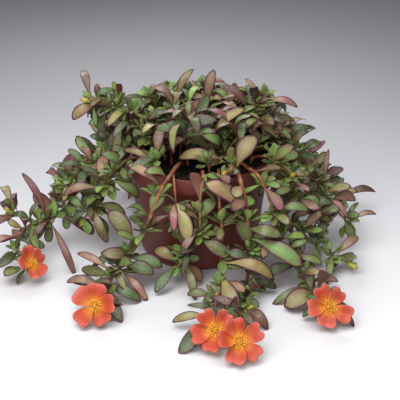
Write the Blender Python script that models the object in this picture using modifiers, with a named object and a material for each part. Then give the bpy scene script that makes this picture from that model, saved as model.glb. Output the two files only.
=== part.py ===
"""Trailing portulaca with coral-red blooms, growing in a round plastic nursery pot.

Metres, +Z up, front at -Y. The origin is the middle of the pot's flat foot, on the surface that
the pot stands on. Stems leave the potting mix through plain holes, pass over the rim, and hang
down or lie on the surface round the pot. Routes and leaf sizes are given in millimetres.
"""

import math
import random
from dataclasses import dataclass, field, replace

import bmesh
import bpy
from mathutils import Matrix, Vector
from mathutils.bvhtree import BVHTree

MM = 0.001
SEED = 23
GAP = 0.3 * MM

# The pot
POT_HEIGHT = 87 * MM
RIM_RADIUS = 60 * MM
BODY_TOP_RADIUS = 57.4 * MM
FOOT_RADIUS = 48.5 * MM
POT_WALL = 1.6 * MM
BAND_HEIGHT = 13 * MM
FOOT_ROUND = 2 * MM
POT_SIDES = 28
DRAIN_RADIUS = 3.5 * MM
DRAIN_CIRCLE = 32 * MM
DRAIN_COUNT = 5

# The potting mix
MIX_EDGE_TOP = 79 * MM
MIX_RISE = 1.5 * MM
MIX_BUMP = 0.7 * MM
MIX_RINGS = 2
MIX_SIDES = POT_SIDES
HOLE_SIDES = 4
HOLE_SPACE = 1.3 * MM
HOLE_FLOOR = 67 * MM

# Leaves
LEAF_THICK = 1.5 * MM
SMALL_LEAF_THICK = 1.2 * MM
SMALL_LEAF = 19
LEAF_FOLD = 0.16
LEAF_FULLNESS = 1.35
LEAF_ROUNDNESS = 0.75
LEAF_TIP = 1.25
LONG_LEAF = 45
MIDDLE_LEAF = 28
LEAF_ARCH = 0.13
ROOT_SHARE = 0.14
TEST_MARGIN = 0.45 * MM
FLOOR_MARGIN = 0.2 * MM

# Blooms
PETALS = 5
PETAL_LENGTH = 18.5 * MM
PETAL_WIDTH = 26 * MM
PETAL_THICK = 1 * MM
PETAL_NOTCH = 0.14
PETAL_SHOULDER = 0.35
PETAL_TWIST = math.radians(11)
PETAL_CUP = 5 * MM
PETAL_SEAT = 1 * MM
RECEPTACLE_DEPTH = 5.5 * MM
RECEPTACLE_FOOT = 1.3 * MM
RECEPTACLE_TOP = 3.6 * MM
BLOOM_NECK = 13 * MM
STAMEN_DOME = 2.4 * MM
STAMEN_SEAT = 2.2 * MM
FILAMENTS = 5
FILAMENT_LENGTH = 5 * MM
FILAMENT_RADIUS = 0.45 * MM
ANTHER_RADIUS = 0.75 * MM

# Sprigs of small leaves, and large leaves set singly up a stem
SPRIG_LEAVES = 3
SPRIG_LENGTH = 15.5
SPRIG_RISE = 0.5
TIP_LEAVES = 2
TIP_LENGTH = 14
LARGE_FROM = 0.3
LARGE_TO = 0.96
LARGE_LENGTH = (26, 34)
LARGE_SLIMNESS = 0.37
OUTER_SPREAD = 68
INNER_SPREAD = 22
SPREAD_STEPS = 7
GOLDEN_ANGLE = math.radians(137.5)

# Buds and stems
BUD_RADIUS = 2.6 * MM
BUD_HALF_LENGTH = 5.2 * MM
BUD_SEAT = 3 * MM
BUD_LEAF_PLACE = 0.98
STEM_TAPER = 0.4

# Faces that lie this nearly in one plane are one face after a join
FLAT = math.radians(1)

# The light that the leaves turn to comes from the front and above
SUN_HEADING = 270
SUN_RISE = 40
SUN_SHARE = 0.75
SUN_PULL = 0.5

UP = Vector((0, 0, 1))


@dataclass
class Leaf:
    """A leaf: its place on the stem (0 root, 1 tip), heading, rise, size and arch as a share of length."""

    at: float
    heading: float
    rise: float
    length: float
    width: float
    arch: float = LEAF_ARCH
    roll: float = 0


@dataclass
class Stem:
    """A stem through points in millimetres, its diameter at the root, and what it carries.

    leaves are the ones chosen by eye, sprigs are the places of its whorls of small leaves, and
    large counts the leaves that a spiral sets along it.
    """

    route: list
    thick: float
    leaves: list = field(default_factory=list)
    sprigs: tuple = ()
    large: int = 0
    tip: str = "tuft"


SHOOTS = {
    "front_left": [
        Stem(
            route=[
                (-14, -20, 70), (-14, -20, 84), (-20, -52, 92), (-30, -68, 83), (-38, -67, 60),
                (-45, -65, 40), (-58, -66, 21), (-75, -92, 7),
            ],
            thick=3.6,
            leaves=[
                Leaf(0.32, 170, 35, 34, 8), Leaf(0.45, 20, 65, 24, 12), Leaf(0.6, 160, 50, 36, 14),
                Leaf(0.66, 345, -5, 30, 11), Leaf(0.7, 340, -10, 28, 11), Leaf(0.72, 315, -20, 38, 6),
                Leaf(0.75, 165, 25, 36, 6, 0.2), Leaf(0.81, 330, -5, 32, 9), Leaf(0.83, 295, -3, 42, 9),
                Leaf(0.74, 220, -10, 19, 6),
            ],
            sprigs=(0.36, 0.52, 0.64, 0.72, 0.78),
            tip="bloom_south_west",
        ),
        Stem(
            route=[(-20, -55, 91), (-19, -64, 82), (-18, -67, 58)],
            thick=1.8,
            leaves=[Leaf(0.6, 305, -50, 34, 12)],
            sprigs=(0.95,),
        ),
    ],
    "front_mid": [
        Stem(
            route=[(2, -38, 70), (2, -38, 84), (3, -60, 92), (1, -67, 74), (-1, -66, 38), (-18, -70, 15)],
            thick=2.8,
            leaves=[
                Leaf(0.5, 210, 80, 30, 10), Leaf(0.62, 5, 55, 24, 11), Leaf(0.75, 335, -15, 32, 11),
                Leaf(0.62, 175, 40, 24, 10), Leaf(0.97, 170, 30, 25, 10), Leaf(0.97, 355, 25, 19, 8),
                Leaf(0.98, 225, -25, 30, 8), Leaf(0.92, 290, -30, 38, 7),
            ],
            sprigs=(0.56, 0.7, 0.9),
            tip="bud",
        ),
    ],
    "front_centre": [
        Stem(
            route=[
                (16, -34, 70), (16, -34, 84), (15, -60, 92), (16, -68, 72), (18, -69, 46),
                (17, -88, 22), (12, -105, 7), (10, -134, 7),
            ],
            thick=2.8,
            leaves=[
                Leaf(0.57, 350, -5, 46, 11, 0.25), Leaf(0.6, 285, -25, 46, 13), Leaf(0.7, 190, 10, 23, 7),
                Leaf(0.68, 235, -25, 16, 8), Leaf(0.85, 185, 0, 31, 7, 0.25), Leaf(0.88, 235, -5, 44, 12),
            ],
            sprigs=(0.4, 0.55, 0.66, 0.73),
            tip="bloom_south",
        ),
    ],
    "front_right": [
        Stem(
            route=[
                (20, -14, 70), (20, -14, 84), (29, -50, 92), (33, -65, 87), (38, -68, 60),
                (39, -71, 22), (38, -80, 7), (30, -140, 6),
            ],
            thick=3.8,
            leaves=[
                Leaf(0.15, 175, 15, 46, 11), Leaf(0.21, 35, 60, 32, 14), Leaf(0.38, 185, 45, 46, 14),
                Leaf(0.28, 240, -30, 13, 11), Leaf(0.46, 335, -15, 50, 14), Leaf(0.5, 170, 75, 28, 12),
                Leaf(0.6, 335, 0, 26, 8), Leaf(0.72, 325, 5, 15, 7), Leaf(0.78, 290, 0, 20, 7),
            ],
            sprigs=(0.4, 0.5, 0.62, 0.72),
            tip="bloom_south_front",
        ),
    ],
    "right_front": [
        Stem(
            route=[
                (33, -24, 70), (33, -24, 84), (38, -44, 91), (48, -57, 88), (58, -62, 65),
                (68, -64, 30), (88, -77, 7), (94, -99, 7),
            ],
            thick=3,
            leaves=[
                Leaf(0.66, 200, -5, 29, 9), Leaf(0.78, 210, -3, 40, 6), Leaf(0.85, 205, 0, 32, 15, 0.2),
                Leaf(0.85, 290, -3, 46, 7), Leaf(0.62, 0, -10, 26, 7), Leaf(0.3, 320, -35, 24, 9),
                Leaf(0.47, 220, -35, 15, 9),
            ],
            sprigs=(0.3, 0.42, 0.54, 0.66, 0.75),
            tip="bloom_south_east",
        ),
    ],
    "right_low": [
        Stem(
            route=[
                (42, 0, 70), (42, 0, 84), (58, -12, 92), (68, -20, 78), (70, -34, 46),
                (83, -42, 33), (97, -37, 16), (122, -53, 9),
            ],
            thick=2.8,
            leaves=[
                Leaf(0.42, 10, 30, 25, 9), Leaf(0.6, 5, 35, 22, 10), Leaf(0.68, 15, 45, 24, 8),
                Leaf(0.8, 30, 65, 22, 7), Leaf(0.9, 260, -12, 33, 6), Leaf(0.92, 20, 35, 26, 8, 0.2),
                Leaf(0.96, 205, -15, 16, 7),
            ],
            sprigs=(0.36, 0.47, 0.57, 0.68, 0.8, 0.9),
            tip="bud",
        ),
    ],
    "right_high": [
        Stem(
            route=[
                (38, 20, 70), (38, 20, 86), (62, 9, 91), (80, 4, 81), (98, -2, 58), (106, -4, 43),
                (125, -13, 24),
            ],
            thick=2.6,
            leaves=[
                Leaf(0.74, 60, 75, 37, 4), Leaf(0.82, 5, 10, 24, 10, 0.25), Leaf(0.95, 300, -45, 20, 8),
                Leaf(0.98, 30, 55, 20, 4, 0.4), Leaf(0.68, 0, -20, 21, 6), Leaf(0.56, 50, 65, 14, 6),
                Leaf(0.46, 140, 60, 18, 5),
            ],
            sprigs=(0.35, 0.45, 0.54, 0.66, 0.78, 0.9),
            tip="bud",
        ),
    ],
    "right_mid": [
        Stem(
            route=[
                (44, -12, 70), (44, -12, 84), (57, -28, 92), (72, -36, 80), (80, -33, 58), (97, -29, 33),
            ],
            thick=2.6,
            leaves=[
                Leaf(0.72, 345, -15, 20, 13), Leaf(0.84, 245, -60, 22, 10), Leaf(0.5, 0, 0, 15, 6),
                Leaf(0.98, 290, -50, 19, 7), Leaf(0.92, 350, -15, 16, 6),
            ],
            sprigs=(0.38, 0.52, 0.68, 0.86),
        ),
    ],
    "top_right": [
        Stem(
            route=[(26, 4, 70), (26, 4, 86), (33, 0, 108), (40, -2, 120), (52, -2, 132)],
            thick=2.6,
            leaves=[
                Leaf(0.78, 30, 55, 19, 5), Leaf(0.98, 180, 5, 15, 4, 0.3), Leaf(0.98, 0, -30, 25, 5, 0.3),
                Leaf(0.96, 150, 70, 11, 4), Leaf(0.98, 340, 20, 12, 6), Leaf(0.9, 350, 35, 15, 7),
                Leaf(0.56, 330, -30, 24, 7, 0.3), Leaf(0.62, 350, -20, 35, 8, 0.2),
            ],
            sprigs=(0.56, 0.74, 0.9),
        ),
    ],
    "top_left": [
        Stem(
            route=[
                (-34, 12, 70), (-34, 12, 88), (-38, 6, 109), (-50, 2, 116), (-65, 0, 124), (-88, -4, 131),
            ],
            thick=2.8,
            leaves=[
                Leaf(0.75, 240, -50, 15, 13), Leaf(0.8, 215, -70, 30, 11), Leaf(0.55, 195, -45, 46, 10),
                Leaf(0.67, 235, -65, 50, 8), Leaf(0.75, 5, 25, 23, 4, 0.35), Leaf(0.95, 5, 35, 20, 6, 0.4),
                Leaf(0.97, 290, -70, 21, 4, 0.2), Leaf(0.87, 220, -50, 16, 4, 0.2),
                Leaf(0.97, 175, 50, 13, 5), Leaf(0.46, 200, -50, 29, 7),
            ],
            sprigs=(0.46, 0.62, 0.77, 0.88),
            tip="bud",
        ),
    ],
    "left_upper": [
        Stem(
            route=[(-40, -4, 70), (-40, -4, 84), (-57, -7, 91), (-74, -5, 85), (-98, -5, 67), (-110, -5, 55)],
            thick=3,
            leaves=[
                Leaf(0.65, 250, -70, 29, 7), Leaf(0.83, 310, -45, 17, 7), Leaf(0.7, 150, 65, 22, 6, 0.2),
                Leaf(0.64, 20, 80, 14, 6), Leaf(0.92, 170, 75, 19, 7), Leaf(0.98, 180, -10, 13, 7),
                Leaf(0.98, 205, -45, 18, 8), Leaf(0.52, 295, -60, 18, 6),
            ],
            sprigs=(0.38, 0.54, 0.66, 0.77, 0.88, 0.97),
        ),
    ],
    "left_low": [
        Stem(
            route=[
                (-38, -20, 70), (-38, -20, 84), (-55, -26, 91), (-69, -31, 81), (-80, -30, 62),
                (-95, -24, 34),
            ],
            thick=2.8,
            leaves=[
                Leaf(0.82, 350, -15, 29, 9, 0.18), Leaf(0.56, 345, -25, 30, 9, 0.18),
                Leaf(0.52, 345, -10, 17, 7), Leaf(0.7, 190, -30, 20, 8), Leaf(0.92, 335, -30, 17, 6), Leaf(0.88, 185, -35, 20, 6),
            ],
            sprigs=(0.48, 0.6, 0.72, 0.85),
            tip="bud",
        ),
    ],
    "left_far": [
        Stem(
            route=[
                (-38, 18, 70), (-38, 18, 86), (-58, 16, 91), (-79, 14, 78), (-96, 8, 56), (-108, -4, 40),
                (-123, -20, 31), (-137, -24, 31), (-147, -38, 27), (-147, -50, 18),
            ],
            thick=2.8,
            leaves=[
                Leaf(0.67, 170, 70, 48, 6), Leaf(0.73, 20, 60, 24, 4, 0.35), Leaf(0.66, 300, -30, 56, 6),
                Leaf(0.62, 345, -30, 36, 11, 0.17), Leaf(0.57, 285, -60, 20, 7), Leaf(0.5, 165, 30, 13, 7),
                Leaf(0.73, 225, -40, 18, 10), Leaf(0.66, 235, -30, 20, 6),
            ],
            sprigs=(0.32, 0.42, 0.52, 0.58, 0.65, 0.7),
            tip="bloom_west",
        ),
        Stem(route=[(-137, -24, 31), (-146, -21, 35), (-154, -20, 39)], thick=1.6, tip="bud"),
    ],
    "crown_west": [
        Stem(
            route=[(-28, -6, 70), (-28, -6, 84), (-33, -10, 102), (-37, -12, 117)],
            thick=2.6,
            sprigs=(0.55, 0.8),
        ),
        Stem(route=[(-31, -8, 95), (-38, -18, 103), (-41, -23, 109)], thick=1.8),
        Stem(
            route=[(-28, -6, 86), (-22, -5, 95), (-20, -6, 106), (-23, -6, 121)],
            thick=2,
            sprigs=(0.55, 0.8),
        ),
    ],
    "crown_north_west": [
        Stem(
            route=[(-18, 22, 70), (-18, 22, 84), (-16, 19, 106), (-17, 16, 123)],
            thick=2.8,
            leaves=[Leaf(0.97, 350, 75, 33, 7), Leaf(0.93, 350, 25, 24, 6, 0.2), Leaf(0.9, 170, 60, 18, 6)],
            sprigs=(0.55, 0.7),
        ),
        Stem(
            route=[(-18, 22, 86), (-26, 21, 100), (-34, 19, 114), (-39, 16, 126)],
            thick=2.2,
            leaves=[Leaf(0.8, 190, 45, 16, 6), Leaf(0.88, 100, 70, 16, 6), Leaf(0.95, 10, 50, 18, 6)],
            sprigs=(0.5, 0.7),
        ),
        Stem(route=[(-26, 21, 100), (-27, 23, 112), (-26, 24, 123)], thick=1.8),
    ],
    "crown_middle": [
        Stem(
            route=[(6, 18, 70), (6, 18, 84), (8, 17, 104), (8, 14, 121)],
            thick=2.8,
            leaves=[Leaf(0.95, 5, 85, 33, 9), Leaf(0.9, 5, 35, 22, 6, 0.4), Leaf(0.85, 150, 50, 20, 7)],
            sprigs=(0.68, 0.82),
        ),
        Stem(
            route=[(6, 18, 88), (11, 8, 98), (12, -2, 106), (10, -7, 115)],
            thick=2,
            sprigs=(0.6, 0.85),
        ),
    ],
    "crown_bud": [
        Stem(
            route=[(0, 0, 70), (0, 0, 84), (4, -9, 97), (5, -14, 106), (-1, -19, 111)],
            thick=2,
            leaves=[Leaf(0.55, 340, 10, 26, 6)],
            sprigs=(0.7, 0.9),
            tip="bud",
        ),
    ],
    "crown_east": [
        Stem(
            route=[(25, 20, 70), (25, 20, 84), (26, 17, 103), (27, 12, 119)],
            thick=2.8,
            leaves=[Leaf(0.95, 160, 80, 19, 7), Leaf(0.9, 20, 75, 17, 5), Leaf(0.8, 350, 20, 26, 7)],
            sprigs=(0.62, 0.78),
        ),
        Stem(
            route=[(25, 20, 88), (36, 13, 98), (44, 7, 106), (49, 3, 114)],
            thick=2.2,
            leaves=[Leaf(0.9, 300, -10, 26, 10), Leaf(0.8, 250, 10, 24, 9)],
            sprigs=(0.6,),
        ),
    ],
    "crown_south_east": [
        Stem(
            route=[(21, -2, 70), (21, -2, 86), (24, -10, 103), (24, -14, 116)],
            thick=2.4,
            leaves=[Leaf(0.6, 320, 10, 24, 9)],
            sprigs=(0.7, 0.9),
        ),
    ],
    "rim_west_tuft": [
        Stem(
            route=[(-30, -32, 70), (-30, -32, 82), (-33, -39, 92), (-34, -42, 97)],
            thick=2,
            sprigs=(0.85,),
        ),
    ],
    "rim_front_tuft": [
        Stem(route=[(9, -46, 70), (9, -46, 82), (8, -46, 90), (7, -46, 95)], thick=2),
    ],
    "rim_far_west_tuft": [
        Stem(route=[(-46, -14, 70), (-46, -14, 82), (-52, -15, 90), (-56, -16, 94)], thick=2),
    ],
    "rim_east_tuft": [
        Stem(
            route=[(46, 18, 70), (46, 18, 84), (58, 17, 91), (69, 15, 86)],
            thick=2.2,
            sprigs=(0.7,),
        ),
    ],
    "west_mid": [
        Stem(
            route=[(-48, 4, 70), (-48, 4, 82), (-54, 2, 94), (-54, 0, 107)],
            thick=2.2,
            leaves=[Leaf(0.75, 240, -10, 24, 8)],
            sprigs=(0.7,),
        ),
    ],
    "crown_north": [
        Stem(
            route=[(2, 36, 70), (2, 36, 84), (4, 38, 106), (5, 42, 124)],
            thick=2.8,
            sprigs=(0.65, 0.8),
        ),
        Stem(
            route=[(2, 36, 86), (-12, 38, 96), (-23, 42, 108), (-28, 46, 118)],
            thick=2.2,
            sprigs=(0.55, 0.8),
        ),
        Stem(
            route=[(2, 36, 90), (18, 36, 98), (31, 38, 106), (37, 40, 114)],
            thick=2.2,
            sprigs=(0.55, 0.85),
        ),
    ],
    "back_left": [
        Stem(
            route=[
                (-14, 48, 70), (-14, 48, 82), (-17, 54, 92), (-22, 62, 92), (-32, 74, 74), (-42, 80, 40),
                (-52, 88, 12), (-62, 112, 7), (-66, 138, 8),
            ],
            thick=3,
            sprigs=(0.5, 0.65, 0.85),
            large=3,
        ),
    ],
    "back_middle": [
        Stem(
            route=[
                (10, 50, 70), (10, 50, 82), (10, 55, 92), (11, 63, 91), (12, 74, 66), (14, 80, 34),
                (18, 98, 9), (22, 130, 7), (24, 150, 8),
            ],
            thick=3,
            sprigs=(0.45, 0.62, 0.85),
            large=3,
            tip="bud",
        ),
    ],
    "back_right": [
        Stem(
            route=[
                (34, 40, 70), (34, 40, 82), (37, 44, 92), (43, 54, 92), (54, 68, 70), (64, 76, 38),
                (78, 88, 11), (98, 108, 7), (112, 122, 8),
            ],
            thick=3,
            sprigs=(0.45, 0.62, 0.85),
            large=3,
        ),
    ],
    "right_back": [
        Stem(
            route=[
                (44, 25, 70), (44, 25, 82), (51, 29, 93), (62, 35, 94), (78, 40, 78), (94, 46, 54),
                (110, 50, 28), (126, 54, 12),
            ],
            thick=2.8,
            sprigs=(0.4, 0.6, 0.82),
            large=2,
            tip="bud",
        ),
    ],
    "left_back": [
        Stem(
            route=[
                (-40, 34, 70), (-40, 34, 82), (-44, 37, 92), (-54, 45, 92), (-70, 56, 76), (-86, 64, 50),
                (-104, 70, 22), (-124, 78, 10),
            ],
            thick=2.8,
            sprigs=(0.4, 0.6, 0.82),
            large=2,
        ),
    ],
}


@dataclass
class Bloom:
    """A bloom: its centre in millimetres, where it faces, the turn of its petals and its size."""

    centre: tuple
    heading: float
    rise: float
    turn: float
    size: float = 1.0


BLOOMS = {
    "bloom_west": Bloom((-134, -66, 16), 312, 36, 20, 0.78),
    "bloom_south_west": Bloom((-79, -129, 16), 268, 34, 8, 0.98),
    "bloom_south": Bloom((12, -163, 16), 258, 36, 54, 1.0),
    "bloom_south_front": Bloom((29, -177, 15), 282, 40, 26, 1.0),
    "bloom_south_east": Bloom((98, -131, 16), 278, 32, 40, 0.96),
}


def material(name, colour, roughness, metallic=0.0):
    """A plain finish for the sub-parts that share it."""
    finish = bpy.data.materials.new(name)
    finish.use_nodes = True
    shader = finish.node_tree.nodes["Principled BSDF"]
    shader.inputs["Base Color"].default_value = (*colour, 1)
    shader.inputs["Roughness"].default_value = roughness
    shader.inputs["Metallic"].default_value = metallic
    finish.diffuse_color = (*colour, 1)
    return finish


def new_object(name, mesh, collection):
    obj = bpy.data.objects.new(name, mesh)
    collection.objects.link(obj)
    return obj


def object_from(shape, name, collection):
    """An object that takes its mesh from a bmesh, which is freed."""
    mesh = bpy.data.meshes.new(name)
    shape.to_mesh(mesh)
    shape.free()
    return new_object(name, mesh, collection)


def turned(name, profile, sides, collection):
    """A solid of revolution. The profile runs down its outer side, from axis to axis."""
    mesh = bpy.data.meshes.new(name)
    points = [(radius, 0, height) for radius, height in profile]
    mesh.from_pydata(points, [(i, i + 1) for i in range(len(points) - 1)], [])
    obj = new_object(name, mesh, collection)
    screw = obj.modifiers.new("Turn", "SCREW")
    screw.steps = screw.render_steps = sides
    screw.use_merge_vertices = True
    screw.merge_threshold = 0.00001
    return obj


def boolean(obj, operation, others):
    """Joins or cuts with a whole collection, applies the result and removes the collection."""
    modifier = obj.modifiers.new("Join", "BOOLEAN")
    modifier.operation = operation
    modifier.operand_type = "COLLECTION"
    modifier.collection = others
    modifier.solver = "EXACT"
    bpy.context.view_layer.update()
    evaluated = obj.evaluated_get(bpy.context.evaluated_depsgraph_get())
    joined = bpy.data.meshes.new_from_object(evaluated)
    obj.modifiers.clear()
    obj.data = joined
    shape = bmesh.new()
    shape.from_mesh(joined)
    bmesh.ops.dissolve_limit(shape, angle_limit=FLAT, verts=shape.verts, edges=shape.edges)
    shape.to_mesh(joined)
    shape.free()
    for helper in list(others.objects):
        bpy.data.objects.remove(helper)
    bpy.data.collections.remove(others)


def helper_collection(name):
    group = bpy.data.collections.new(name)
    group.hide_render = True
    bpy.context.scene.collection.children.link(group)
    return group


def mark_helper(obj):
    obj.hide_render = True
    obj.display_type = "WIRE"
    return obj


def dress(obj, finish):
    obj.data.materials.clear()
    obj.data.materials.append(finish)


def shade_round(obj, angle=35):
    obj.data.shade_smooth()
    obj.data.set_sharp_from_angle(angle=math.radians(angle))


def facing(heading, rise):
    """The unit vector at a heading round +Z from +X and a rise above the horizontal, in degrees."""
    turn, lift = math.radians(heading), math.radians(rise)
    return Vector((math.cos(turn) * math.cos(lift), math.sin(turn) * math.cos(lift), math.sin(lift)))


def heading_and_rise(direction):
    flat = math.hypot(direction.x, direction.y)
    return math.degrees(math.atan2(direction.y, direction.x)), math.degrees(math.atan2(direction.z, flat))


def along(route, share):
    """The point and the direction at a share of a route's length."""
    points = [Vector(point) * MM for point in route]
    lengths = [(b - a).length for a, b in zip(points, points[1:])]
    rest = min(max(share, 0), 1) * sum(lengths)
    for start, end, length in zip(points, points[1:], lengths):
        if rest <= length or end is points[-1]:
            return start.lerp(end, rest / length), (end - start).normalized()
        rest -= length
    raise ValueError("a route needs two points or more")


def blade(base, heading, rise, roll, size, sections, start=0.0, grow=0.0):
    """A closed leaf blade bent along an arched midrib, as a bmesh.

    size is (length, width, arch, thickness) in metres. The blade is broadest past its middle
    and its edges stand a little above its midrib. start leaves the root out, and grow fattens
    the blade, for a test of the room round it.
    """
    length, width, arch, thick = size
    direction = facing(heading, rise)
    upper = facing(heading, rise + 90)
    upper.rotate(Matrix.Rotation(math.radians(roll), 3, direction))
    across = direction.cross(upper)
    shape = bmesh.new()
    bmesh.ops.create_uvsphere(shape, u_segments=4, v_segments=sections, radius=1)
    for vertex in shape.verts:
        ring = math.acos(max(-1, min(1, -vertex.co.z))) / math.pi
        radius = math.hypot(vertex.co.x, vertex.co.y)
        side, face = (vertex.co.x / radius, vertex.co.y / radius) if radius > 1e-4 else (0, 0)
        place = start + (1 - start) * (1 - (1 - ring) ** LEAF_TIP)
        half = max(0.0, math.sin(math.pi * place**LEAF_FULLNESS)) ** LEAF_ROUNDNESS * width / 2
        half += grow * (radius > 1e-4)
        lift = arch * 4 * place * (1 - place) + LEAF_FOLD * abs(side) * half
        lift += face * (thick / 2 + grow)
        vertex.co = base + direction * (length * place) + across * (side * half) + upper * lift
    return shape


def tube(name, points, radii, collection):
    """A tapered stem: a curve with a round section, made a mesh with its end caps welded on."""
    data = bpy.data.curves.new(name, "CURVE")
    data.dimensions = "3D"
    data.bevel_depth = MM
    data.bevel_resolution = 0
    data.use_fill_caps = True
    spline = data.splines.new("POLY")
    spline.points.add(len(points) - 1)
    for point, place, radius in zip(spline.points, points, radii):
        point.co = (*place, 1)
        point.radius = radius / MM
    curve = new_object(name, data, collection)
    bpy.context.view_layer.update()
    evaluated = curve.evaluated_get(bpy.context.evaluated_depsgraph_get())
    mesh = bpy.data.meshes.new_from_object(evaluated)
    shape = bmesh.new()
    shape.from_mesh(mesh)
    bmesh.ops.remove_doubles(shape, verts=shape.verts, dist=0.00001)
    shape.to_mesh(mesh)
    shape.free()
    stem = new_object(f"{name}_mesh", mesh, collection)
    stem.matrix_world = curve.matrix_world
    bpy.data.objects.remove(curve)
    stem.name = name
    return stem


def stem_route(stem):
    """The stem's points. One that carries a bloom runs on up into the back of it."""
    if stem.tip not in BLOOMS:
        return list(stem.route)
    bloom = BLOOMS[stem.tip]
    axis = facing(bloom.heading, bloom.rise) * bloom.size
    centre = Vector(bloom.centre)
    back = centre - axis * (RECEPTACLE_DEPTH + GAP) / MM
    neck = centre - axis * (RECEPTACLE_DEPTH + BLOOM_NECK) / MM
    return list(stem.route) + [tuple(neck), tuple(back)]


def make_pot(collection, cutters):
    """The thin moulded pot: a tapered wall, a deeper band at the rim, a flat floor with holes."""
    inner_rim = RIM_RADIUS - POT_WALL
    inner_top = BODY_TOP_RADIUS - POT_WALL
    inner_foot = FOOT_RADIUS - POT_WALL
    band_low = POT_HEIGHT - BAND_HEIGHT
    lip = POT_WALL / 3
    profile = [
        (0, POT_WALL),
        (inner_foot - FOOT_ROUND, POT_WALL),
        (inner_foot, POT_WALL + FOOT_ROUND),
        (inner_top, band_low - POT_WALL),
        (inner_rim, band_low + POT_WALL),
        (inner_rim, POT_HEIGHT - lip),
        ((inner_rim + RIM_RADIUS) / 2, POT_HEIGHT),
        (RIM_RADIUS, POT_HEIGHT - lip),
        (RIM_RADIUS, band_low),
        (BODY_TOP_RADIUS, band_low),
        (FOOT_RADIUS, FOOT_ROUND),
        (FOOT_RADIUS - FOOT_ROUND, 0),
        (0, 0),
    ]
    pot = turned("pot", profile, POT_SIDES, collection)
    for i in range(DRAIN_COUNT):
        angle = 2 * math.pi * (i + 0.5) / DRAIN_COUNT
        hole = bmesh.new()
        place = Matrix.Translation((DRAIN_CIRCLE * math.cos(angle), DRAIN_CIRCLE * math.sin(angle), 0))
        bmesh.ops.create_cone(
            hole, cap_ends=True, segments=6, radius1=DRAIN_RADIUS, radius2=DRAIN_RADIUS,
            depth=6 * POT_WALL, matrix=place,
        )
        mark_helper(object_from(hole, f"drain_hole_{i + 1}", cutters))
    boolean(pot, "DIFFERENCE", cutters)
    shade_round(pot)
    return pot


def make_mix(collection, cutters, rng):
    """The potting mix: it fills the pot, has an uneven top, and a plain hole for each root."""
    foot = FOOT_RADIUS - POT_WALL - FOOT_ROUND - GAP
    wall = BODY_TOP_RADIUS - POT_WALL - GAP
    top = POT_HEIGHT - BAND_HEIGHT - POT_WALL
    edge = RIM_RADIUS - POT_WALL - GAP
    profile = [(0, MIX_EDGE_TOP + MIX_RISE)]
    for ring in range(1, MIX_RINGS + 1):
        share = ring / MIX_RINGS
        profile.append((edge * share, MIX_EDGE_TOP + MIX_RISE * (1 - share**2)))
    profile += [(edge, top + 2 * POT_WALL + GAP), (wall, top), (foot, POT_WALL + GAP), (0, POT_WALL + GAP)]
    mix = turned("potting_mix", profile, MIX_SIDES, collection)
    bpy.context.view_layer.update()
    mesh = bpy.data.meshes.new_from_object(mix.evaluated_get(bpy.context.evaluated_depsgraph_get()))
    mix.modifiers.clear()
    mix.data = mesh
    for vertex in mesh.vertices:
        if vertex.co.z > MIX_EDGE_TOP - 0.1 * MM and math.hypot(vertex.co.x, vertex.co.y) < edge - MM:
            vertex.co.z += rng.uniform(-MIX_BUMP, MIX_BUMP)
    for name, stems in SHOOTS.items():
        x, y, _ = stems[0].route[0]
        depth = 2 * (POT_HEIGHT - HOLE_FLOOR)
        radius = stems[0].thick / 2 * MM + HOLE_SPACE
        hole = bmesh.new()
        bmesh.ops.create_cone(
            hole, cap_ends=True, segments=HOLE_SIDES, radius1=radius, radius2=radius, depth=depth,
            matrix=Matrix.Translation((x * MM, y * MM, HOLE_FLOOR + depth / 2)),
        )
        mark_helper(object_from(hole, f"root_hole_{name}", cutters))
    boolean(mix, "DIFFERENCE", cutters)
    return mix


def make_bloom(name, bloom, petal_finish, stamen_finish, collection):
    """Five notched petals fused on a small receptacle, and the stamens as a body of their own."""
    axis = facing(bloom.heading, bloom.rise)
    frame = axis.to_track_quat("Z", "Y").to_matrix().to_4x4()
    frame = Matrix.Translation(Vector(bloom.centre) * MM) @ frame @ Matrix.Scale(bloom.size, 4)
    petals = helper_collection(f"{name}_petal_shapes")
    cup = bmesh.new()
    bmesh.ops.create_cone(
        cup, cap_ends=True, segments=8, radius1=RECEPTACLE_FOOT, radius2=RECEPTACLE_TOP,
        depth=RECEPTACLE_DEPTH + PETAL_THICK / 2,
        matrix=frame @ Matrix.Translation((0, 0, (PETAL_THICK / 2 - RECEPTACLE_DEPTH) / 2)),
    )
    body = object_from(cup, f"{name}_petals", collection)
    for i in range(PETALS):
        turn = Matrix.Rotation(math.radians(bloom.turn + 360 * i / PETALS), 4, "Z")
        shape = bmesh.new()
        bmesh.ops.create_uvsphere(shape, u_segments=6, v_segments=4, radius=1)
        for vertex in shape.verts:
            ring = math.acos(max(-1, min(1, -vertex.co.z))) / math.pi
            radius = math.hypot(vertex.co.x, vertex.co.y)
            side, face = (vertex.co.x / radius, vertex.co.y / radius) if radius > 1e-4 else (0, 0)
            notch = PETAL_NOTCH * (1 - abs(side)) ** 2
            shoulder = PETAL_SHOULDER * side**4
            reach = min(1, 1.3 * ring) - ring**2 * (notch + shoulder)
            half = PETAL_WIDTH / 2 * math.sin(math.pi * ring**1.1) ** 0.5 * (0.4 + 0.6 * ring)
            out = PETAL_SEAT + reach * (PETAL_LENGTH - PETAL_SEAT)
            lift = PETAL_CUP * reach**1.6 - PETAL_THICK / 2 + math.tan(PETAL_TWIST) * side * half
            vertex.co = Vector((out, side * half, lift + face * PETAL_THICK / 2))
        shape.transform(frame @ turn)
        mark_helper(object_from(shape, f"{name}_petal_{i + 1}", petals))
    boolean(body, "UNION", petals)
    dress(body, petal_finish)
    shade_round(body, 50)
    return body, make_stamens(name, frame, stamen_finish, collection)


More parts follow.
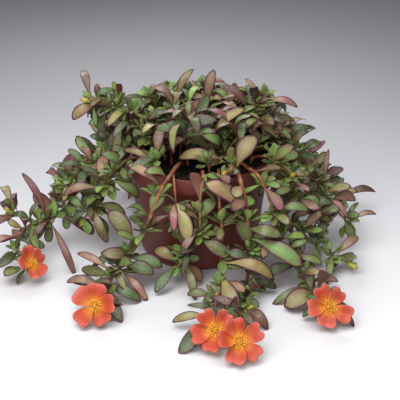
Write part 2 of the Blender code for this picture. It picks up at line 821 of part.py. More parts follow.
def make_stamens(name, frame, finish, collection):
    """A low dome with filaments that stand out of it."""
    dome = bmesh.new()
    flat = Matrix.Translation((0, 0, STAMEN_SEAT)) @ Matrix.Diagonal((1, 1, 0.5, 1))
    bmesh.ops.create_uvsphere(dome, u_segments=5, v_segments=3, radius=STAMEN_DOME, matrix=frame @ flat)
    body = object_from(dome, f"{name}_stamens", collection)
    filaments = helper_collection(f"{name}_filament_shapes")
    for i in range(FILAMENTS):
        lean = Matrix.Rotation(math.radians(12 + 38 * i / FILAMENTS), 4, "Y")
        turn = Matrix.Rotation(GOLDEN_ANGLE * i, 4, "Z")
        rod = bmesh.new()
        bmesh.ops.create_cone(
            rod, cap_ends=True, segments=3, radius1=FILAMENT_RADIUS, radius2=ANTHER_RADIUS,
            depth=FILAMENT_LENGTH,
            matrix=frame @ Matrix.Translation((0, 0, STAMEN_SEAT - 0.2 * MM)) @ turn @ lean
            @ Matrix.Translation((STAMEN_DOME / 4, 0, FILAMENT_LENGTH / 2)),
        )
        mark_helper(object_from(rod, f"{name}_filament_{i + 1}", filaments))
    boolean(body, "UNION", filaments)
    dress(body, finish)
    return body


class Room:
    """The solids placed so far, with what each belongs to, to keep the next leaf clear of them."""

    def __init__(self):
        self.solids = []

    def add(self, owner, shape):
        corners = [vertex.co for vertex in shape.verts]
        low = [min(corner[i] for corner in corners) for i in range(3)]
        high = [max(corner[i] for corner in corners) for i in range(3)]
        self.solids.append((owner, low, high, BVHTree.FromBMesh(shape)))

    def add_object(self, owner, obj):
        shape = bmesh.new()
        shape.from_mesh(obj.data)
        shape.transform(obj.matrix_world)
        self.add(owner, shape)
        shape.free()

    def is_free(self, shape, keep):
        """True where the shape touches no solid whose owner passes the test keep."""
        corners = [vertex.co for vertex in shape.verts]
        low = [min(corner[i] for corner in corners) for i in range(3)]
        high = [max(corner[i] for corner in corners) for i in range(3)]
        tree = BVHTree.FromBMesh(shape)
        for owner, solid_low, solid_high, solid in self.solids:
            if not keep(owner) or any(low[i] > solid_high[i] or high[i] < solid_low[i] for i in range(3)):
                continue
            if tree.overlap(solid):
                return False
        return True


# Turn, lift and scale tried in order until a leaf has room
TRIES = [(0, 0, 1), (0, 8, 1), (10, 0, 1), (-10, 0, 1), (0, 16, 0.97), (20, 6, 0.95), (-20, 6, 0.95)]
TRIES += [(0, 26, 0.92), (32, 10, 0.88), (-32, 10, 0.88), (0, 38, 0.85), (45, 20, 0.8), (-45, 20, 0.8)]
TRIES += [(0, -12, 0.9), (15, 30, 0.75), (-15, 30, 0.75), (60, 30, 0.7), (-60, 30, 0.7), (0, 55, 0.7)]


def grow_leaf(room, name, route, share, leaf, sections, leaves):
    """Adds a leaf where it has room: clear of every other node, of its neighbours and the floor."""
    base, _ = along(route, min(share, 1 - 1.2 / max(1, route_length(route))))
    thick = SMALL_LEAF_THICK if leaf.length < SMALL_LEAF else LEAF_THICK
    for turn, lift, scale in TRIES:
        heading, rise = leaf.heading + turn, leaf.rise + lift
        length = leaf.length * scale * MM
        size = (length, leaf.width * scale * MM, leaf.arch * length, thick)
        solid = blade(base, heading, rise, leaf.roll, size, sections)
        whole = blade(base, heading, rise, leaf.roll, size, sections, grow=TEST_MARGIN)
        outer = blade(base, heading, rise, leaf.roll, size, sections, start=ROOT_SHARE, grow=0.1 * MM)
        fits = min(vertex.co.z for vertex in solid.verts) > FLOOR_MARGIN
        fits = fits and room.is_free(whole, lambda owner: owner not in (name, f"{name} outer"))
        fits = fits and room.is_free(outer, lambda owner: owner == f"{name} outer")
        whole.free()
        outer.free()
        if fits:
            room.add(name, solid)
            tip_part = blade(base, heading, rise, leaf.roll, size, sections, start=ROOT_SHARE)
            room.add(f"{name} outer", tip_part)
            tip_part.free()
            mark_helper(object_from(solid, f"{name}_leaf", leaves))
            return True
        solid.free()
    return False


def route_length(route):
    return sum(math.dist(a, b) for a, b in zip(route, route[1:]))


def sunward(leaf):
    """The leaf, rolled round its midrib until its upper face is turned most of the way to the light."""
    direction = facing(leaf.heading, leaf.rise)
    upper = facing(leaf.heading, leaf.rise + 90)
    light = facing(SUN_HEADING, SUN_RISE)
    wanted = light - direction * light.dot(direction)
    if upper.dot(wanted) < 0:
        wanted.negate()
    angle = math.degrees(math.atan2(upper.cross(wanted).dot(direction), upper.dot(wanted)))
    return replace(leaf, roll=angle * SUN_SHARE)


def whorl(axis, count, length, rng):
    """Leaves in a spiral round an axis, the outer ones spread and the inner ones upright."""
    side = axis.orthogonal().normalized()
    start = rng.uniform(0, 2 * math.pi)
    for i in range(count):
        spread = math.radians(OUTER_SPREAD - (OUTER_SPREAD - INNER_SPREAD) * i / SPREAD_STEPS)
        out = side.copy()
        out.rotate(Matrix.Rotation(start + GOLDEN_ANGLE * i, 3, axis))
        direction = axis * math.cos(spread) + out * math.sin(spread)
        heading, rise = heading_and_rise(direction)
        size = length * rng.uniform(0.88, 1.1)
        width = size * rng.uniform(0.5, 0.6)
        yield Leaf(0, heading, rise, size, width, -0.08, rng.uniform(-25, 25))


def sprig(route, share, index, rng):
    """A whorl of small leaves that stands out of the stem and leans up and to the light."""
    _, direction = along(route, share)
    out = direction.orthogonal().normalized()
    out.rotate(Matrix.Rotation(GOLDEN_ANGLE * (index + 1), 3, direction))
    axis = out + UP * SPRIG_RISE + facing(SUN_HEADING, SUN_RISE) * SUN_PULL
    return whorl(axis.normalized(), SPRIG_LEAVES, SPRIG_LENGTH, rng)


def spiral(route, count, rng):
    """Large leaves in a spiral up a stem, turned up to the light."""
    for i in range(count):
        share = LARGE_FROM + (LARGE_TO - LARGE_FROM) * (i + rng.uniform(0.1, 0.9)) / count
        _, direction = along(route, share)
        out = direction.orthogonal().normalized()
        out.rotate(Matrix.Rotation(GOLDEN_ANGLE * i + rng.uniform(-0.4, 0.4), 3, direction))
        heading, rise = heading_and_rise(direction * 0.45 + out + UP * 0.35)
        size = rng.uniform(*LARGE_LENGTH)
        width = size * LARGE_SLIMNESS * rng.uniform(0.9, 1.1)
        yield Leaf(share, heading, rise, size, width, LEAF_ARCH, rng.uniform(-35, 35))


def make_bud(name, route, group):
    """A closed, pointed bud at the end of a stem."""
    tip, direction = along(route, 1)
    shape = bmesh.new()
    bmesh.ops.create_uvsphere(shape, u_segments=5, v_segments=4, radius=1)
    turn = direction.to_track_quat("Z", "Y").to_matrix().to_4x4()
    form = Matrix.Diagonal((BUD_RADIUS, BUD_RADIUS, BUD_HALF_LENGTH, 1))
    shape.transform(Matrix.Translation(tip + direction * BUD_SEAT) @ turn @ form)
    return mark_helper(object_from(shape, f"{name}_bud", group))


def make_shoots(room, collection, finish, rng):
    """Every shoot: first all stems and buds, then leaves by importance, then one join each."""
    bodies, helpers = {}, {}
    for name, stems in SHOOTS.items():
        helpers[name] = helper_collection(f"{name}_shapes")
        for i, stem in enumerate(stems):
            route = stem_route(stem)
            points = [Vector(point) * MM for point in route]
            count = len(points) - 1
            radii = [stem.thick / 2 * MM * (1 - STEM_TAPER * k / count) for k in range(count + 1)]
            if i == 0:
                bodies[name] = made = tube(name, points, radii, collection)
            else:
                made = mark_helper(tube(f"{name}_branch_{i}", points, radii, helpers[name]))
            room.add_object(name, made)
            if stem.tip == "bud":
                room.add_object(name, make_bud(name, route, helpers[name]))
    for name, stems in SHOOTS.items():
        for stem in stems:
            route = stem_route(stem)
            chosen = [sunward(leaf) for leaf in stem.leaves]
            chosen += spiral(route, stem.large, rng)
            for leaf in chosen:
                sections = 4 if leaf.length > LONG_LEAF else 3 if leaf.length > MIDDLE_LEAF else 2
                grow_leaf(room, name, route, leaf.at, leaf, sections, helpers[name])
    for name, stems in SHOOTS.items():
        for stem in stems:
            route = stem_route(stem)
            for i, share in enumerate(stem.sprigs):
                for leaf in sprig(route, share, i, rng):
                    grow_leaf(room, name, route, share, leaf, 2, helpers[name])
            if stem.tip == "tuft":
                _, axis = along(route, 1)
                for leaf in whorl((axis + UP * 0.5).normalized(), TIP_LEAVES, TIP_LENGTH, rng):
                    grow_leaf(room, name, route, 1, leaf, 2, helpers[name])
            elif stem.tip == "bud":
                _, axis = along(route, 1)
                for leaf in whorl(axis, TIP_LEAVES, TIP_LENGTH, rng):
                    grow_leaf(room, name, route, BUD_LEAF_PLACE, leaf, 2, helpers[name])
    for name, body in bodies.items():
        boolean(body, "UNION", helpers[name])
        dress(body, finish)
        shade_round(body, 50)


def main():
    for obj in list(bpy.data.objects):
        bpy.data.objects.remove(obj)
    collection = bpy.data.collections.new("portulaca")
    bpy.context.scene.collection.children.link(collection)

    pot = make_pot(collection, helper_collection("drain_holes"))
    dress(pot, material("pot_plastic", (0.16, 0.045, 0.038), 0.45))
    mix = make_mix(collection, helper_collection("root_holes"), random.Random(SEED))
    dress(mix, material("potting_mix", (0.012, 0.009, 0.007), 0.95))

    room = Room()
    room.add_object("pot", pot)
    room.add_object("mix", mix)
    petal = material("petal", (0.8, 0.09, 0.045), 0.5)
    stamen = material("stamen", (0.85, 0.45, 0.06), 0.6)
    for name, bloom in BLOOMS.items():
        for obj in make_bloom(name, bloom, petal, stamen, collection):
            room.add_object(obj.name, obj)
    make_shoots(room, collection, material("foliage", (0.16, 0.24, 0.09), 0.5), random.Random(SEED))


main()
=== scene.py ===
"""A potted portulaca, dressed over its CAD frame for a studio photograph.

The CAD nodes give the pot, the potting mix, five blooms and thirty leafy shoots. Each class here
models one kind of sub-assembly finer than its solid, or dresses it. The shoots' routes and leaves
repeat the part's own millimetres. Everything else is in metres, +Z up, with the front at -Y.
"""

import logging
import math
import random
from dataclasses import dataclass, field, replace
from enum import Enum
from typing import Iterator, Union

import bpy
import numpy as np
from mathutils import Matrix, Vector, noise
from mathutils.kdtree import KDTree


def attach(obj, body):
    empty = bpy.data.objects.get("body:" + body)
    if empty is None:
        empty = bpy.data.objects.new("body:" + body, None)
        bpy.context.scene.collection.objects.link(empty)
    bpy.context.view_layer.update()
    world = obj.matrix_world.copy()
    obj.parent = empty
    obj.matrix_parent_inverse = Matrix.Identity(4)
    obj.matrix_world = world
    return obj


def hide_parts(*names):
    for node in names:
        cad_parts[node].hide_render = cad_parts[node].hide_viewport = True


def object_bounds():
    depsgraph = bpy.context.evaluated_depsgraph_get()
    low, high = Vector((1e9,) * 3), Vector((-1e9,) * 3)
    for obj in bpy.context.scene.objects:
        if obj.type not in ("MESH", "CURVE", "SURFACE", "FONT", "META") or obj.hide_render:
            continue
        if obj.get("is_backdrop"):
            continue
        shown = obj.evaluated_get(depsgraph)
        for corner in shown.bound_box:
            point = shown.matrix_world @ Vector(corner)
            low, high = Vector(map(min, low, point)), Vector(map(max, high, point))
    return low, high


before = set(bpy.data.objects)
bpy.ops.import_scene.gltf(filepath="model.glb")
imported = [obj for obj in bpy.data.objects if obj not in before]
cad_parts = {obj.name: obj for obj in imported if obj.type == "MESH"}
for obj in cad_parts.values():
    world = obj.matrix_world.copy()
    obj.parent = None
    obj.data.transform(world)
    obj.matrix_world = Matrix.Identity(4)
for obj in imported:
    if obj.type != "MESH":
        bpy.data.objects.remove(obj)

log = logging.getLogger("portulaca")

CAD_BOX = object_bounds()

MM = 0.001
SEED = 23
UP = Vector((0, 0, 1))
GOLDEN_ANGLE = math.radians(137.5)
WELD = 0.00001

# The leaves as the part grows them, in its own values
GAP = 0.3 * MM
LEAF_THICK = 1.5 * MM
SMALL_LEAF_THICK = 1.2 * MM
SMALL_LEAF = 19
LEAF_ARCH = 0.13
LEAF_INSET = 1.2
SPRIG_LEAVES = 3
SPRIG_LENGTH = 15.5
SPRIG_RISE = 0.5
TIP_LEAVES = 2
TIP_LENGTH = 14
LARGE_FROM = 0.3
LARGE_TO = 0.96
LARGE_LENGTH = (26, 34)
LARGE_SLIMNESS = 0.37
OUTER_SPREAD = 68
INNER_SPREAD = 22
SPREAD_STEPS = 7
WHORL_SIZES = (0.88, 1.1)
WHORL_SLIMNESS = (0.5, 0.6)
WHORL_ARCH = -0.08
WHORL_ROLL = 25
SPIRAL_PLACE = (0.1, 0.9)
SPIRAL_TURN = 0.4
SPIRAL_ALONG = 0.45
SPIRAL_UP = 0.35
SPIRAL_SLIMNESS = (0.9, 1.1)
SPIRAL_ROLL = 35
TIP_UP = 0.5
BUD_RADIUS = 2.6 * MM
BUD_HALF_LENGTH = 5.2 * MM
BUD_SEAT = 3 * MM
BUD_LEAF_PLACE = 0.98
STEM_TAPER = 0.4
RECEPTACLE_DEPTH = 5.5 * MM
BLOOM_NECK = 13 * MM
SUN_HEADING = 270
SUN_RISE = 40
SUN_SHARE = 0.75
SUN_PULL = 0.5

# Turn, lift and scale that the part tries in order until a leaf has room
TRIES = [(0, 0, 1), (0, 8, 1), (10, 0, 1), (-10, 0, 1), (0, 16, 0.97), (20, 6, 0.95), (-20, 6, 0.95)]
TRIES += [(0, 26, 0.92), (32, 10, 0.88), (-32, 10, 0.88), (0, 38, 0.85), (45, 20, 0.8), (-45, 20, 0.8)]
TRIES += [(0, -12, 0.9), (15, 30, 0.75), (-15, 30, 0.75), (60, 30, 0.7), (-60, 30, 0.7), (0, 55, 0.7)]
TIP_MATCH = 0.1 * MM
CHOSEN_WIDTH = 1.06


class Tone(Enum):
    """The colouring of a leaf, by its letter in the table of shoots."""

    GREEN = "G"
    OLIVE = "O"
    TAN = "T"
    PINK = "P"
    DARK = "D"
    BRIGHT = "B"
    MAROON = "M"


@dataclass
class Leaf:
    """A leaf: its place on the stem (0 root, 1 tip), heading, rise, size and arch."""

    at: float
    heading: float
    rise: float
    length: float
    width: float
    arch: float = LEAF_ARCH
    roll: float = 0
    tone: Tone = Tone.GREEN


@dataclass
class Stem:
    """A stem through points in millimetres, its diameter at the root, and what it carries."""

    route: list[tuple[float, float, float]]
    thick: float
    leaves: list[Leaf] = field(default_factory=list)
    tones: str = ""
    sprigs: tuple[float, ...] = ()
    large: int = 0
    tip: str = "tuft"


SHOOTS: dict[str, list[Stem]] = {
    "front_left": [
        Stem(
            route=[
                (-14, -20, 70), (-14, -20, 84), (-20, -52, 92), (-30, -68, 83), (-38, -67, 60),
                (-45, -65, 40), (-58, -66, 21), (-75, -92, 7),
            ],
            thick=3.6,
            leaves=[
                Leaf(0.32, 170, 35, 34, 8), Leaf(0.45, 20, 65, 24, 12), Leaf(0.6, 160, 50, 36, 14),
                Leaf(0.66, 345, -5, 30, 11), Leaf(0.7, 340, -10, 28, 11), Leaf(0.72, 315, -20, 38, 6),
                Leaf(0.75, 165, 25, 36, 6, 0.2), Leaf(0.81, 330, -5, 32, 9), Leaf(0.83, 295, -3, 42, 9),
                Leaf(0.74, 220, -10, 19, 6),
            ],
            tones="PGOGDPPDDD",
            sprigs=(0.36, 0.52, 0.64, 0.72, 0.78),
            tip="bloom_south_west",
        ),
        Stem(
            route=[(-20, -55, 91), (-19, -64, 82), (-18, -67, 58)],
            thick=1.8,
            leaves=[Leaf(0.6, 305, -50, 34, 12)],
            tones="T",
            sprigs=(0.95,),
        ),
    ],
    "front_mid": [
        Stem(
            route=[(2, -38, 70), (2, -38, 84), (3, -60, 92), (1, -67, 74), (-1, -66, 38), (-18, -70, 15)],
            thick=2.8,
            leaves=[
                Leaf(0.5, 210, 80, 30, 10), Leaf(0.62, 5, 55, 24, 11), Leaf(0.75, 335, -15, 32, 11),
                Leaf(0.62, 175, 40, 24, 10), Leaf(0.97, 170, 30, 25, 10), Leaf(0.97, 355, 25, 19, 8),
                Leaf(0.98, 225, -25, 30, 8), Leaf(0.92, 290, -30, 38, 7),
            ],
            tones="GGGOOGDG",
            sprigs=(0.56, 0.7, 0.9),
            tip="bud",
        ),
    ],
    "front_centre": [
        Stem(
            route=[
                (16, -34, 70), (16, -34, 84), (15, -60, 92), (16, -68, 72), (18, -69, 46),
                (17, -88, 22), (12, -105, 7), (10, -134, 7),
            ],
            thick=2.8,
            leaves=[
                Leaf(0.57, 350, -5, 46, 11, 0.25), Leaf(0.6, 285, -25, 46, 13), Leaf(0.7, 190, 10, 23, 7),
                Leaf(0.68, 235, -25, 16, 8), Leaf(0.85, 185, 0, 31, 7, 0.25), Leaf(0.88, 235, -5, 44, 12),
            ],
            tones="TOGGOD",
            sprigs=(0.4, 0.55, 0.66, 0.73),
            tip="bloom_south",
        ),
    ],
    "front_right": [
        Stem(
            route=[
                (20, -14, 70), (20, -14, 84), (29, -50, 92), (33, -65, 87), (38, -68, 60),
                (39, -71, 22), (38, -80, 7), (30, -140, 6),
            ],
            thick=3.8,
            leaves=[
                Leaf(0.15, 175, 15, 46, 11), Leaf(0.21, 35, 60, 32, 14), Leaf(0.38, 185, 45, 46, 14),
                Leaf(0.28, 240, -30, 13, 11), Leaf(0.46, 335, -15, 50, 14), Leaf(0.5, 170, 75, 28, 12),
                Leaf(0.6, 335, 0, 26, 8), Leaf(0.72, 325, 5, 15, 7), Leaf(0.78, 290, 0, 20, 7),
            ],
            tones="TTTOGGDGG",
            sprigs=(0.4, 0.5, 0.62, 0.72),
            tip="bloom_south_front",
        ),
    ],
    "right_front": [
        Stem(
            route=[
                (33, -24, 70), (33, -24, 84), (38, -44, 91), (48, -57, 88), (58, -62, 65),
                (68, -64, 30), (88, -77, 7), (94, -99, 7),
            ],
            thick=3,
            leaves=[
                Leaf(0.66, 200, -5, 29, 9), Leaf(0.78, 210, -3, 40, 6), Leaf(0.85, 205, 0, 32, 15, 0.2),
                Leaf(0.85, 290, -3, 46, 7), Leaf(0.62, 0, -10, 26, 7), Leaf(0.3, 320, -35, 24, 9),
                Leaf(0.47, 220, -35, 15, 9),
            ],
            tones="DGODGPD",
            sprigs=(0.3, 0.42, 0.54, 0.66, 0.75),
            tip="bloom_south_east",
        ),
    ],
    "right_low": [
        Stem(
            route=[
                (42, 0, 70), (42, 0, 84), (58, -12, 92), (68, -20, 78), (70, -34, 46),
                (83, -42, 33), (97, -37, 16), (122, -53, 9),
            ],
            thick=2.8,
            leaves=[
                Leaf(0.42, 10, 30, 25, 9), Leaf(0.6, 5, 35, 22, 10), Leaf(0.68, 15, 45, 24, 8),
                Leaf(0.8, 30, 65, 22, 7), Leaf(0.9, 260, -12, 33, 6), Leaf(0.92, 20, 35, 26, 8, 0.2),
                Leaf(0.96, 205, -15, 16, 7),
            ],
            tones="OPPGGPD",
            sprigs=(0.36, 0.47, 0.57, 0.68, 0.8, 0.9),
            tip="bud",
        ),
    ],
    "right_high": [
        Stem(
            route=[
                (38, 20, 70), (38, 20, 86), (62, 9, 91), (80, 4, 81), (98, -2, 58), (106, -4, 43),
                (125, -13, 24),
            ],
            thick=2.6,
            leaves=[
                Leaf(0.74, 60, 75, 37, 4), Leaf(0.82, 5, 10, 24, 10, 0.25), Leaf(0.95, 300, -45, 20, 8),
                Leaf(0.98, 30, 55, 20, 4, 0.4), Leaf(0.68, 0, -20, 21, 6), Leaf(0.56, 50, 65, 14, 6),
                Leaf(0.46, 140, 60, 18, 5),
            ],
            tones="MPGDGPP",
            sprigs=(0.35, 0.45, 0.54, 0.66, 0.78, 0.9),
            tip="bud",
        ),
    ],
    "right_mid": [
        Stem(
            route=[
                (44, -12, 70), (44, -12, 84), (57, -28, 92), (72, -36, 80), (80, -33, 58), (97, -29, 33),
            ],
            thick=2.6,
            leaves=[
                Leaf(0.72, 345, -15, 20, 13), Leaf(0.84, 245, -60, 22, 10), Leaf(0.5, 0, 0, 15, 6),
                Leaf(0.98, 290, -50, 19, 7), Leaf(0.92, 350, -15, 16, 6),
            ],
            tones="GOGDG",
            sprigs=(0.38, 0.52, 0.68, 0.86),
        ),
    ],
    "top_right": [
        Stem(
            route=[(26, 4, 70), (26, 4, 86), (33, 0, 108), (40, -2, 120), (52, -2, 132)],
            thick=2.6,
            leaves=[
                Leaf(0.78, 30, 55, 19, 5), Leaf(0.98, 180, 5, 15, 4, 0.3), Leaf(0.98, 0, -30, 25, 5, 0.3),
                Leaf(0.96, 150, 70, 11, 4), Leaf(0.98, 340, 20, 12, 6), Leaf(0.9, 350, 35, 15, 7),
                Leaf(0.56, 330, -30, 24, 7, 0.3), Leaf(0.62, 350, -20, 35, 8, 0.2),
            ],
            tones="PDDBBPPO",
            sprigs=(0.56, 0.74, 0.9),
        ),
    ],
    "top_left": [
        Stem(
            route=[
                (-34, 12, 70), (-34, 12, 88), (-38, 6, 109), (-50, 2, 116), (-65, 0, 124), (-88, -4, 131),
            ],
            thick=2.8,
            leaves=[
                Leaf(0.75, 240, -50, 15, 13), Leaf(0.8, 215, -70, 30, 11), Leaf(0.55, 195, -45, 46, 10),
                Leaf(0.67, 235, -65, 50, 8), Leaf(0.75, 5, 25, 23, 4, 0.35), Leaf(0.95, 5, 35, 20, 6, 0.4),
                Leaf(0.97, 290, -70, 21, 4, 0.2), Leaf(0.87, 220, -50, 16, 4, 0.2),
                Leaf(0.97, 175, 50, 13, 5), Leaf(0.46, 200, -50, 29, 7),
            ],
            tones="GDDODDGGBG",
            sprigs=(0.46, 0.62, 0.77, 0.88),
            tip="bud",
        ),
    ],
    "left_upper": [
        Stem(
            route=[
                (-40, -4, 70), (-40, -4, 84), (-57, -7, 91), (-74, -5, 85), (-98, -5, 67),
                (-110, -5, 55),
            ],
            thick=3,
            leaves=[
                Leaf(0.65, 250, -70, 29, 7), Leaf(0.83, 310, -45, 17, 7), Leaf(0.7, 150, 65, 22, 6, 0.2),
                Leaf(0.64, 20, 80, 14, 6), Leaf(0.92, 170, 75, 19, 7), Leaf(0.98, 180, -10, 13, 7),
                Leaf(0.98, 205, -45, 18, 8), Leaf(0.52, 295, -60, 18, 6),
            ],
            tones="GDPGPGGD",
            sprigs=(0.38, 0.54, 0.66, 0.77, 0.88, 0.97),
        ),
    ],
    "left_low": [
        Stem(
            route=[
                (-38, -20, 70), (-38, -20, 84), (-55, -26, 91), (-69, -31, 81), (-80, -30, 62),
                (-95, -24, 34),
            ],
            thick=2.8,
            leaves=[
                Leaf(0.82, 350, -15, 29, 9, 0.18), Leaf(0.56, 345, -25, 30, 9, 0.18),
                Leaf(0.52, 345, -10, 17, 7), Leaf(0.7, 190, -30, 20, 8), Leaf(0.92, 335, -30, 17, 6),
                Leaf(0.88, 185, -35, 20, 6),
            ],
            tones="GGGDGD",
            sprigs=(0.48, 0.6, 0.72, 0.85),
            tip="bud",
        ),
    ],
    "left_far": [
        Stem(
            route=[
                (-38, 18, 70), (-38, 18, 86), (-58, 16, 91), (-79, 14, 78), (-96, 8, 56), (-108, -4, 40),
                (-123, -20, 31), (-137, -24, 31), (-147, -38, 27), (-147, -50, 18),
            ],
            thick=2.8,
            leaves=[
                Leaf(0.67, 170, 70, 48, 6), Leaf(0.73, 20, 60, 24, 4, 0.35), Leaf(0.66, 300, -30, 56, 6),
                Leaf(0.62, 345, -30, 36, 11, 0.17), Leaf(0.57, 285, -60, 20, 7), Leaf(0.5, 165, 30, 13, 7),
                Leaf(0.73, 225, -40, 18, 10), Leaf(0.66, 235, -30, 20, 6),
            ],
            tones="MDMPGPDD",
            sprigs=(0.32, 0.42, 0.52, 0.58, 0.65, 0.7),
            tip="bloom_west",
        ),
        Stem(route=[(-137, -24, 31), (-146, -21, 35), (-154, -20, 39)], thick=1.6, tip="bud"),
    ],
    "crown_west": [
        Stem(
            route=[(-28, -6, 70), (-28, -6, 84), (-33, -10, 102), (-37, -12, 117)],
            thick=2.6,
            sprigs=(0.55, 0.8),
        ),
        Stem(route=[(-31, -8, 95), (-38, -18, 103), (-41, -23, 109)], thick=1.8),
        Stem(
            route=[(-28, -6, 86), (-22, -5, 95), (-20, -6, 106), (-23, -6, 121)],
            thick=2,
            sprigs=(0.55, 0.8),
        ),
    ],
    "crown_north_west": [
        Stem(
            route=[(-18, 22, 70), (-18, 22, 84), (-16, 19, 106), (-17, 16, 123)],
            thick=2.8,
            leaves=[Leaf(0.97, 350, 75, 33, 7), Leaf(0.93, 350, 25, 24, 6, 0.2), Leaf(0.9, 170, 60, 18, 6)],
            tones="OPG",
            sprigs=(0.55, 0.7),
        ),
        Stem(
            route=[(-18, 22, 86), (-26, 21, 100), (-34, 19, 114), (-39, 16, 126)],
            thick=2.2,
            leaves=[Leaf(0.8, 190, 45, 16, 6), Leaf(0.88, 100, 70, 16, 6), Leaf(0.95, 10, 50, 18, 6)],
            tones="PPO",
            sprigs=(0.5, 0.7),
        ),
        Stem(route=[(-26, 21, 100), (-27, 23, 112), (-26, 24, 123)], thick=1.8),
    ],
    "crown_middle": [
        Stem(
            route=[(6, 18, 70), (6, 18, 84), (8, 17, 104), (8, 14, 121)],
            thick=2.8,
            leaves=[Leaf(0.95, 5, 85, 33, 9), Leaf(0.9, 5, 35, 22, 6, 0.4), Leaf(0.85, 150, 50, 20, 7)],
            tones="PPP",
            sprigs=(0.68, 0.82),
        ),
        Stem(
            route=[(6, 18, 88), (11, 8, 98), (12, -2, 106), (10, -7, 115)],
            thick=2,
            sprigs=(0.6, 0.85),
        ),
    ],
    "crown_bud": [
        Stem(
            route=[(0, 0, 70), (0, 0, 84), (4, -9, 97), (5, -14, 106), (-1, -19, 111)],
            thick=2,
            leaves=[Leaf(0.55, 340, 10, 26, 6)],
            tones="O",
            sprigs=(0.7, 0.9),
            tip="bud",
        ),
    ],
    "crown_east": [
        Stem(
            route=[(25, 20, 70), (25, 20, 84), (26, 17, 103), (27, 12, 119)],
            thick=2.8,
            leaves=[Leaf(0.95, 160, 80, 19, 7), Leaf(0.9, 20, 75, 17, 5), Leaf(0.8, 350, 20, 26, 7)],
            tones="PPO",
            sprigs=(0.62, 0.78),
        ),
        Stem(
            route=[(25, 20, 88), (36, 13, 98), (44, 7, 106), (49, 3, 114)],
            thick=2.2,
            leaves=[Leaf(0.9, 300, -10, 26, 10), Leaf(0.8, 250, 10, 24, 9)],
            tones="OG",
            sprigs=(0.6,),
        ),
    ],
    "crown_south_east": [
        Stem(
            route=[(21, -2, 70), (21, -2, 86), (24, -10, 103), (24, -14, 116)],
            thick=2.4,
            leaves=[Leaf(0.6, 320, 10, 24, 9)],
            tones="G",
            sprigs=(0.7, 0.9),
        ),
    ],
    "rim_west_tuft": [
        Stem(
            route=[(-30, -32, 70), (-30, -32, 82), (-33, -39, 92), (-34, -42, 97)],
            thick=2,
            sprigs=(0.85,),
        ),
    ],
    "rim_front_tuft": [
        Stem(route=[(9, -46, 70), (9, -46, 82), (8, -46, 90), (7, -46, 95)], thick=2),
    ],
    "rim_far_west_tuft": [
        Stem(route=[(-46, -14, 70), (-46, -14, 82), (-52, -15, 90), (-56, -16, 94)], thick=2),
    ],
    "rim_east_tuft": [
        Stem(
            route=[(46, 18, 70), (46, 18, 84), (58, 17, 91), (69, 15, 86)],
            thick=2.2,
            sprigs=(0.7,),
        ),
    ],
    "west_mid": [
        Stem(
            route=[(-48, 4, 70), (-48, 4, 82), (-54, 2, 94), (-54, 0, 107)],
            thick=2.2,
            leaves=[Leaf(0.75, 240, -10, 24, 8)],
            tones="D",
            sprigs=(0.7,),
        ),
    ],
    "crown_north": [
        Stem(
            route=[(2, 36, 70), (2, 36, 84), (4, 38, 106), (5, 42, 124)],
            thick=2.8,
            sprigs=(0.65, 0.8),
        ),
        Stem(
            route=[(2, 36, 86), (-12, 38, 96), (-23, 42, 108), (-28, 46, 118)],
            thick=2.2,
            sprigs=(0.55, 0.8),
        ),
        Stem(
            route=[(2, 36, 90), (18, 36, 98), (31, 38, 106), (37, 40, 114)],
            thick=2.2,
            sprigs=(0.55, 0.85),
        ),
    ],
    "back_left": [
        Stem(
            route=[
                (-14, 48, 70), (-14, 48, 82), (-17, 54, 92), (-22, 62, 92), (-32, 74, 74), (-42, 80, 40),
                (-52, 88, 12), (-62, 112, 7), (-66, 138, 8),
            ],
            thick=3,
            sprigs=(0.5, 0.65, 0.85),
            large=3,
        ),
    ],
    "back_middle": [
        Stem(
            route=[
                (10, 50, 70), (10, 50, 82), (10, 55, 92), (11, 63, 91), (12, 74, 66), (14, 80, 34),
                (18, 98, 9), (22, 130, 7), (24, 150, 8),
            ],
            thick=3,
            sprigs=(0.45, 0.62, 0.85),
            large=3,
            tip="bud",
        ),
    ],
    "back_right": [
        Stem(
            route=[
                (34, 40, 70), (34, 40, 82), (37, 44, 92), (43, 54, 92), (54, 68, 70), (64, 76, 38),
                (78, 88, 11), (98, 108, 7), (112, 122, 8),
            ],
            thick=3,
            sprigs=(0.45, 0.62, 0.85),
            large=3,
        ),
    ],
    "right_back": [
        Stem(
            route=[
                (44, 25, 70), (44, 25, 82), (51, 29, 93), (62, 35, 94), (78, 40, 78), (94, 46, 54),
                (110, 50, 28), (126, 54, 12),
            ],
            thick=2.8,
            sprigs=(0.4, 0.6, 0.82),
            large=2,
            tip="bud",
        ),
    ],
    "left_back": [
        Stem(
            route=[
                (-40, 34, 70), (-40, 34, 82), (-44, 37, 92), (-54, 45, 92), (-70, 56, 76), (-86, 64, 50),
                (-104, 70, 22), (-124, 78, 10),
            ],
            thick=2.8,
            sprigs=(0.4, 0.6, 0.82),
            large=2,
        ),
    ],
}


@dataclass
class Bloom:
    """A bloom: its centre in millimetres, where it faces, the turn of its petals and its size."""

    centre: tuple[float, float, float]
    heading: float
    rise: float
    turn: float
    size: float = 1.0

    @property
    def axis(self) -> Vector:
        """The way that the bloom faces."""
        return facing(self.heading, self.rise)

    @property
    def frame(self) -> Matrix:
        """The bloom's own axes, with its size."""
        turned = self.axis.to_track_quat("Z", "Y").to_matrix().to_4x4()
        return Matrix.Translation(Vector(self.centre) * MM) @ turned @ Matrix.Scale(self.size, 4)


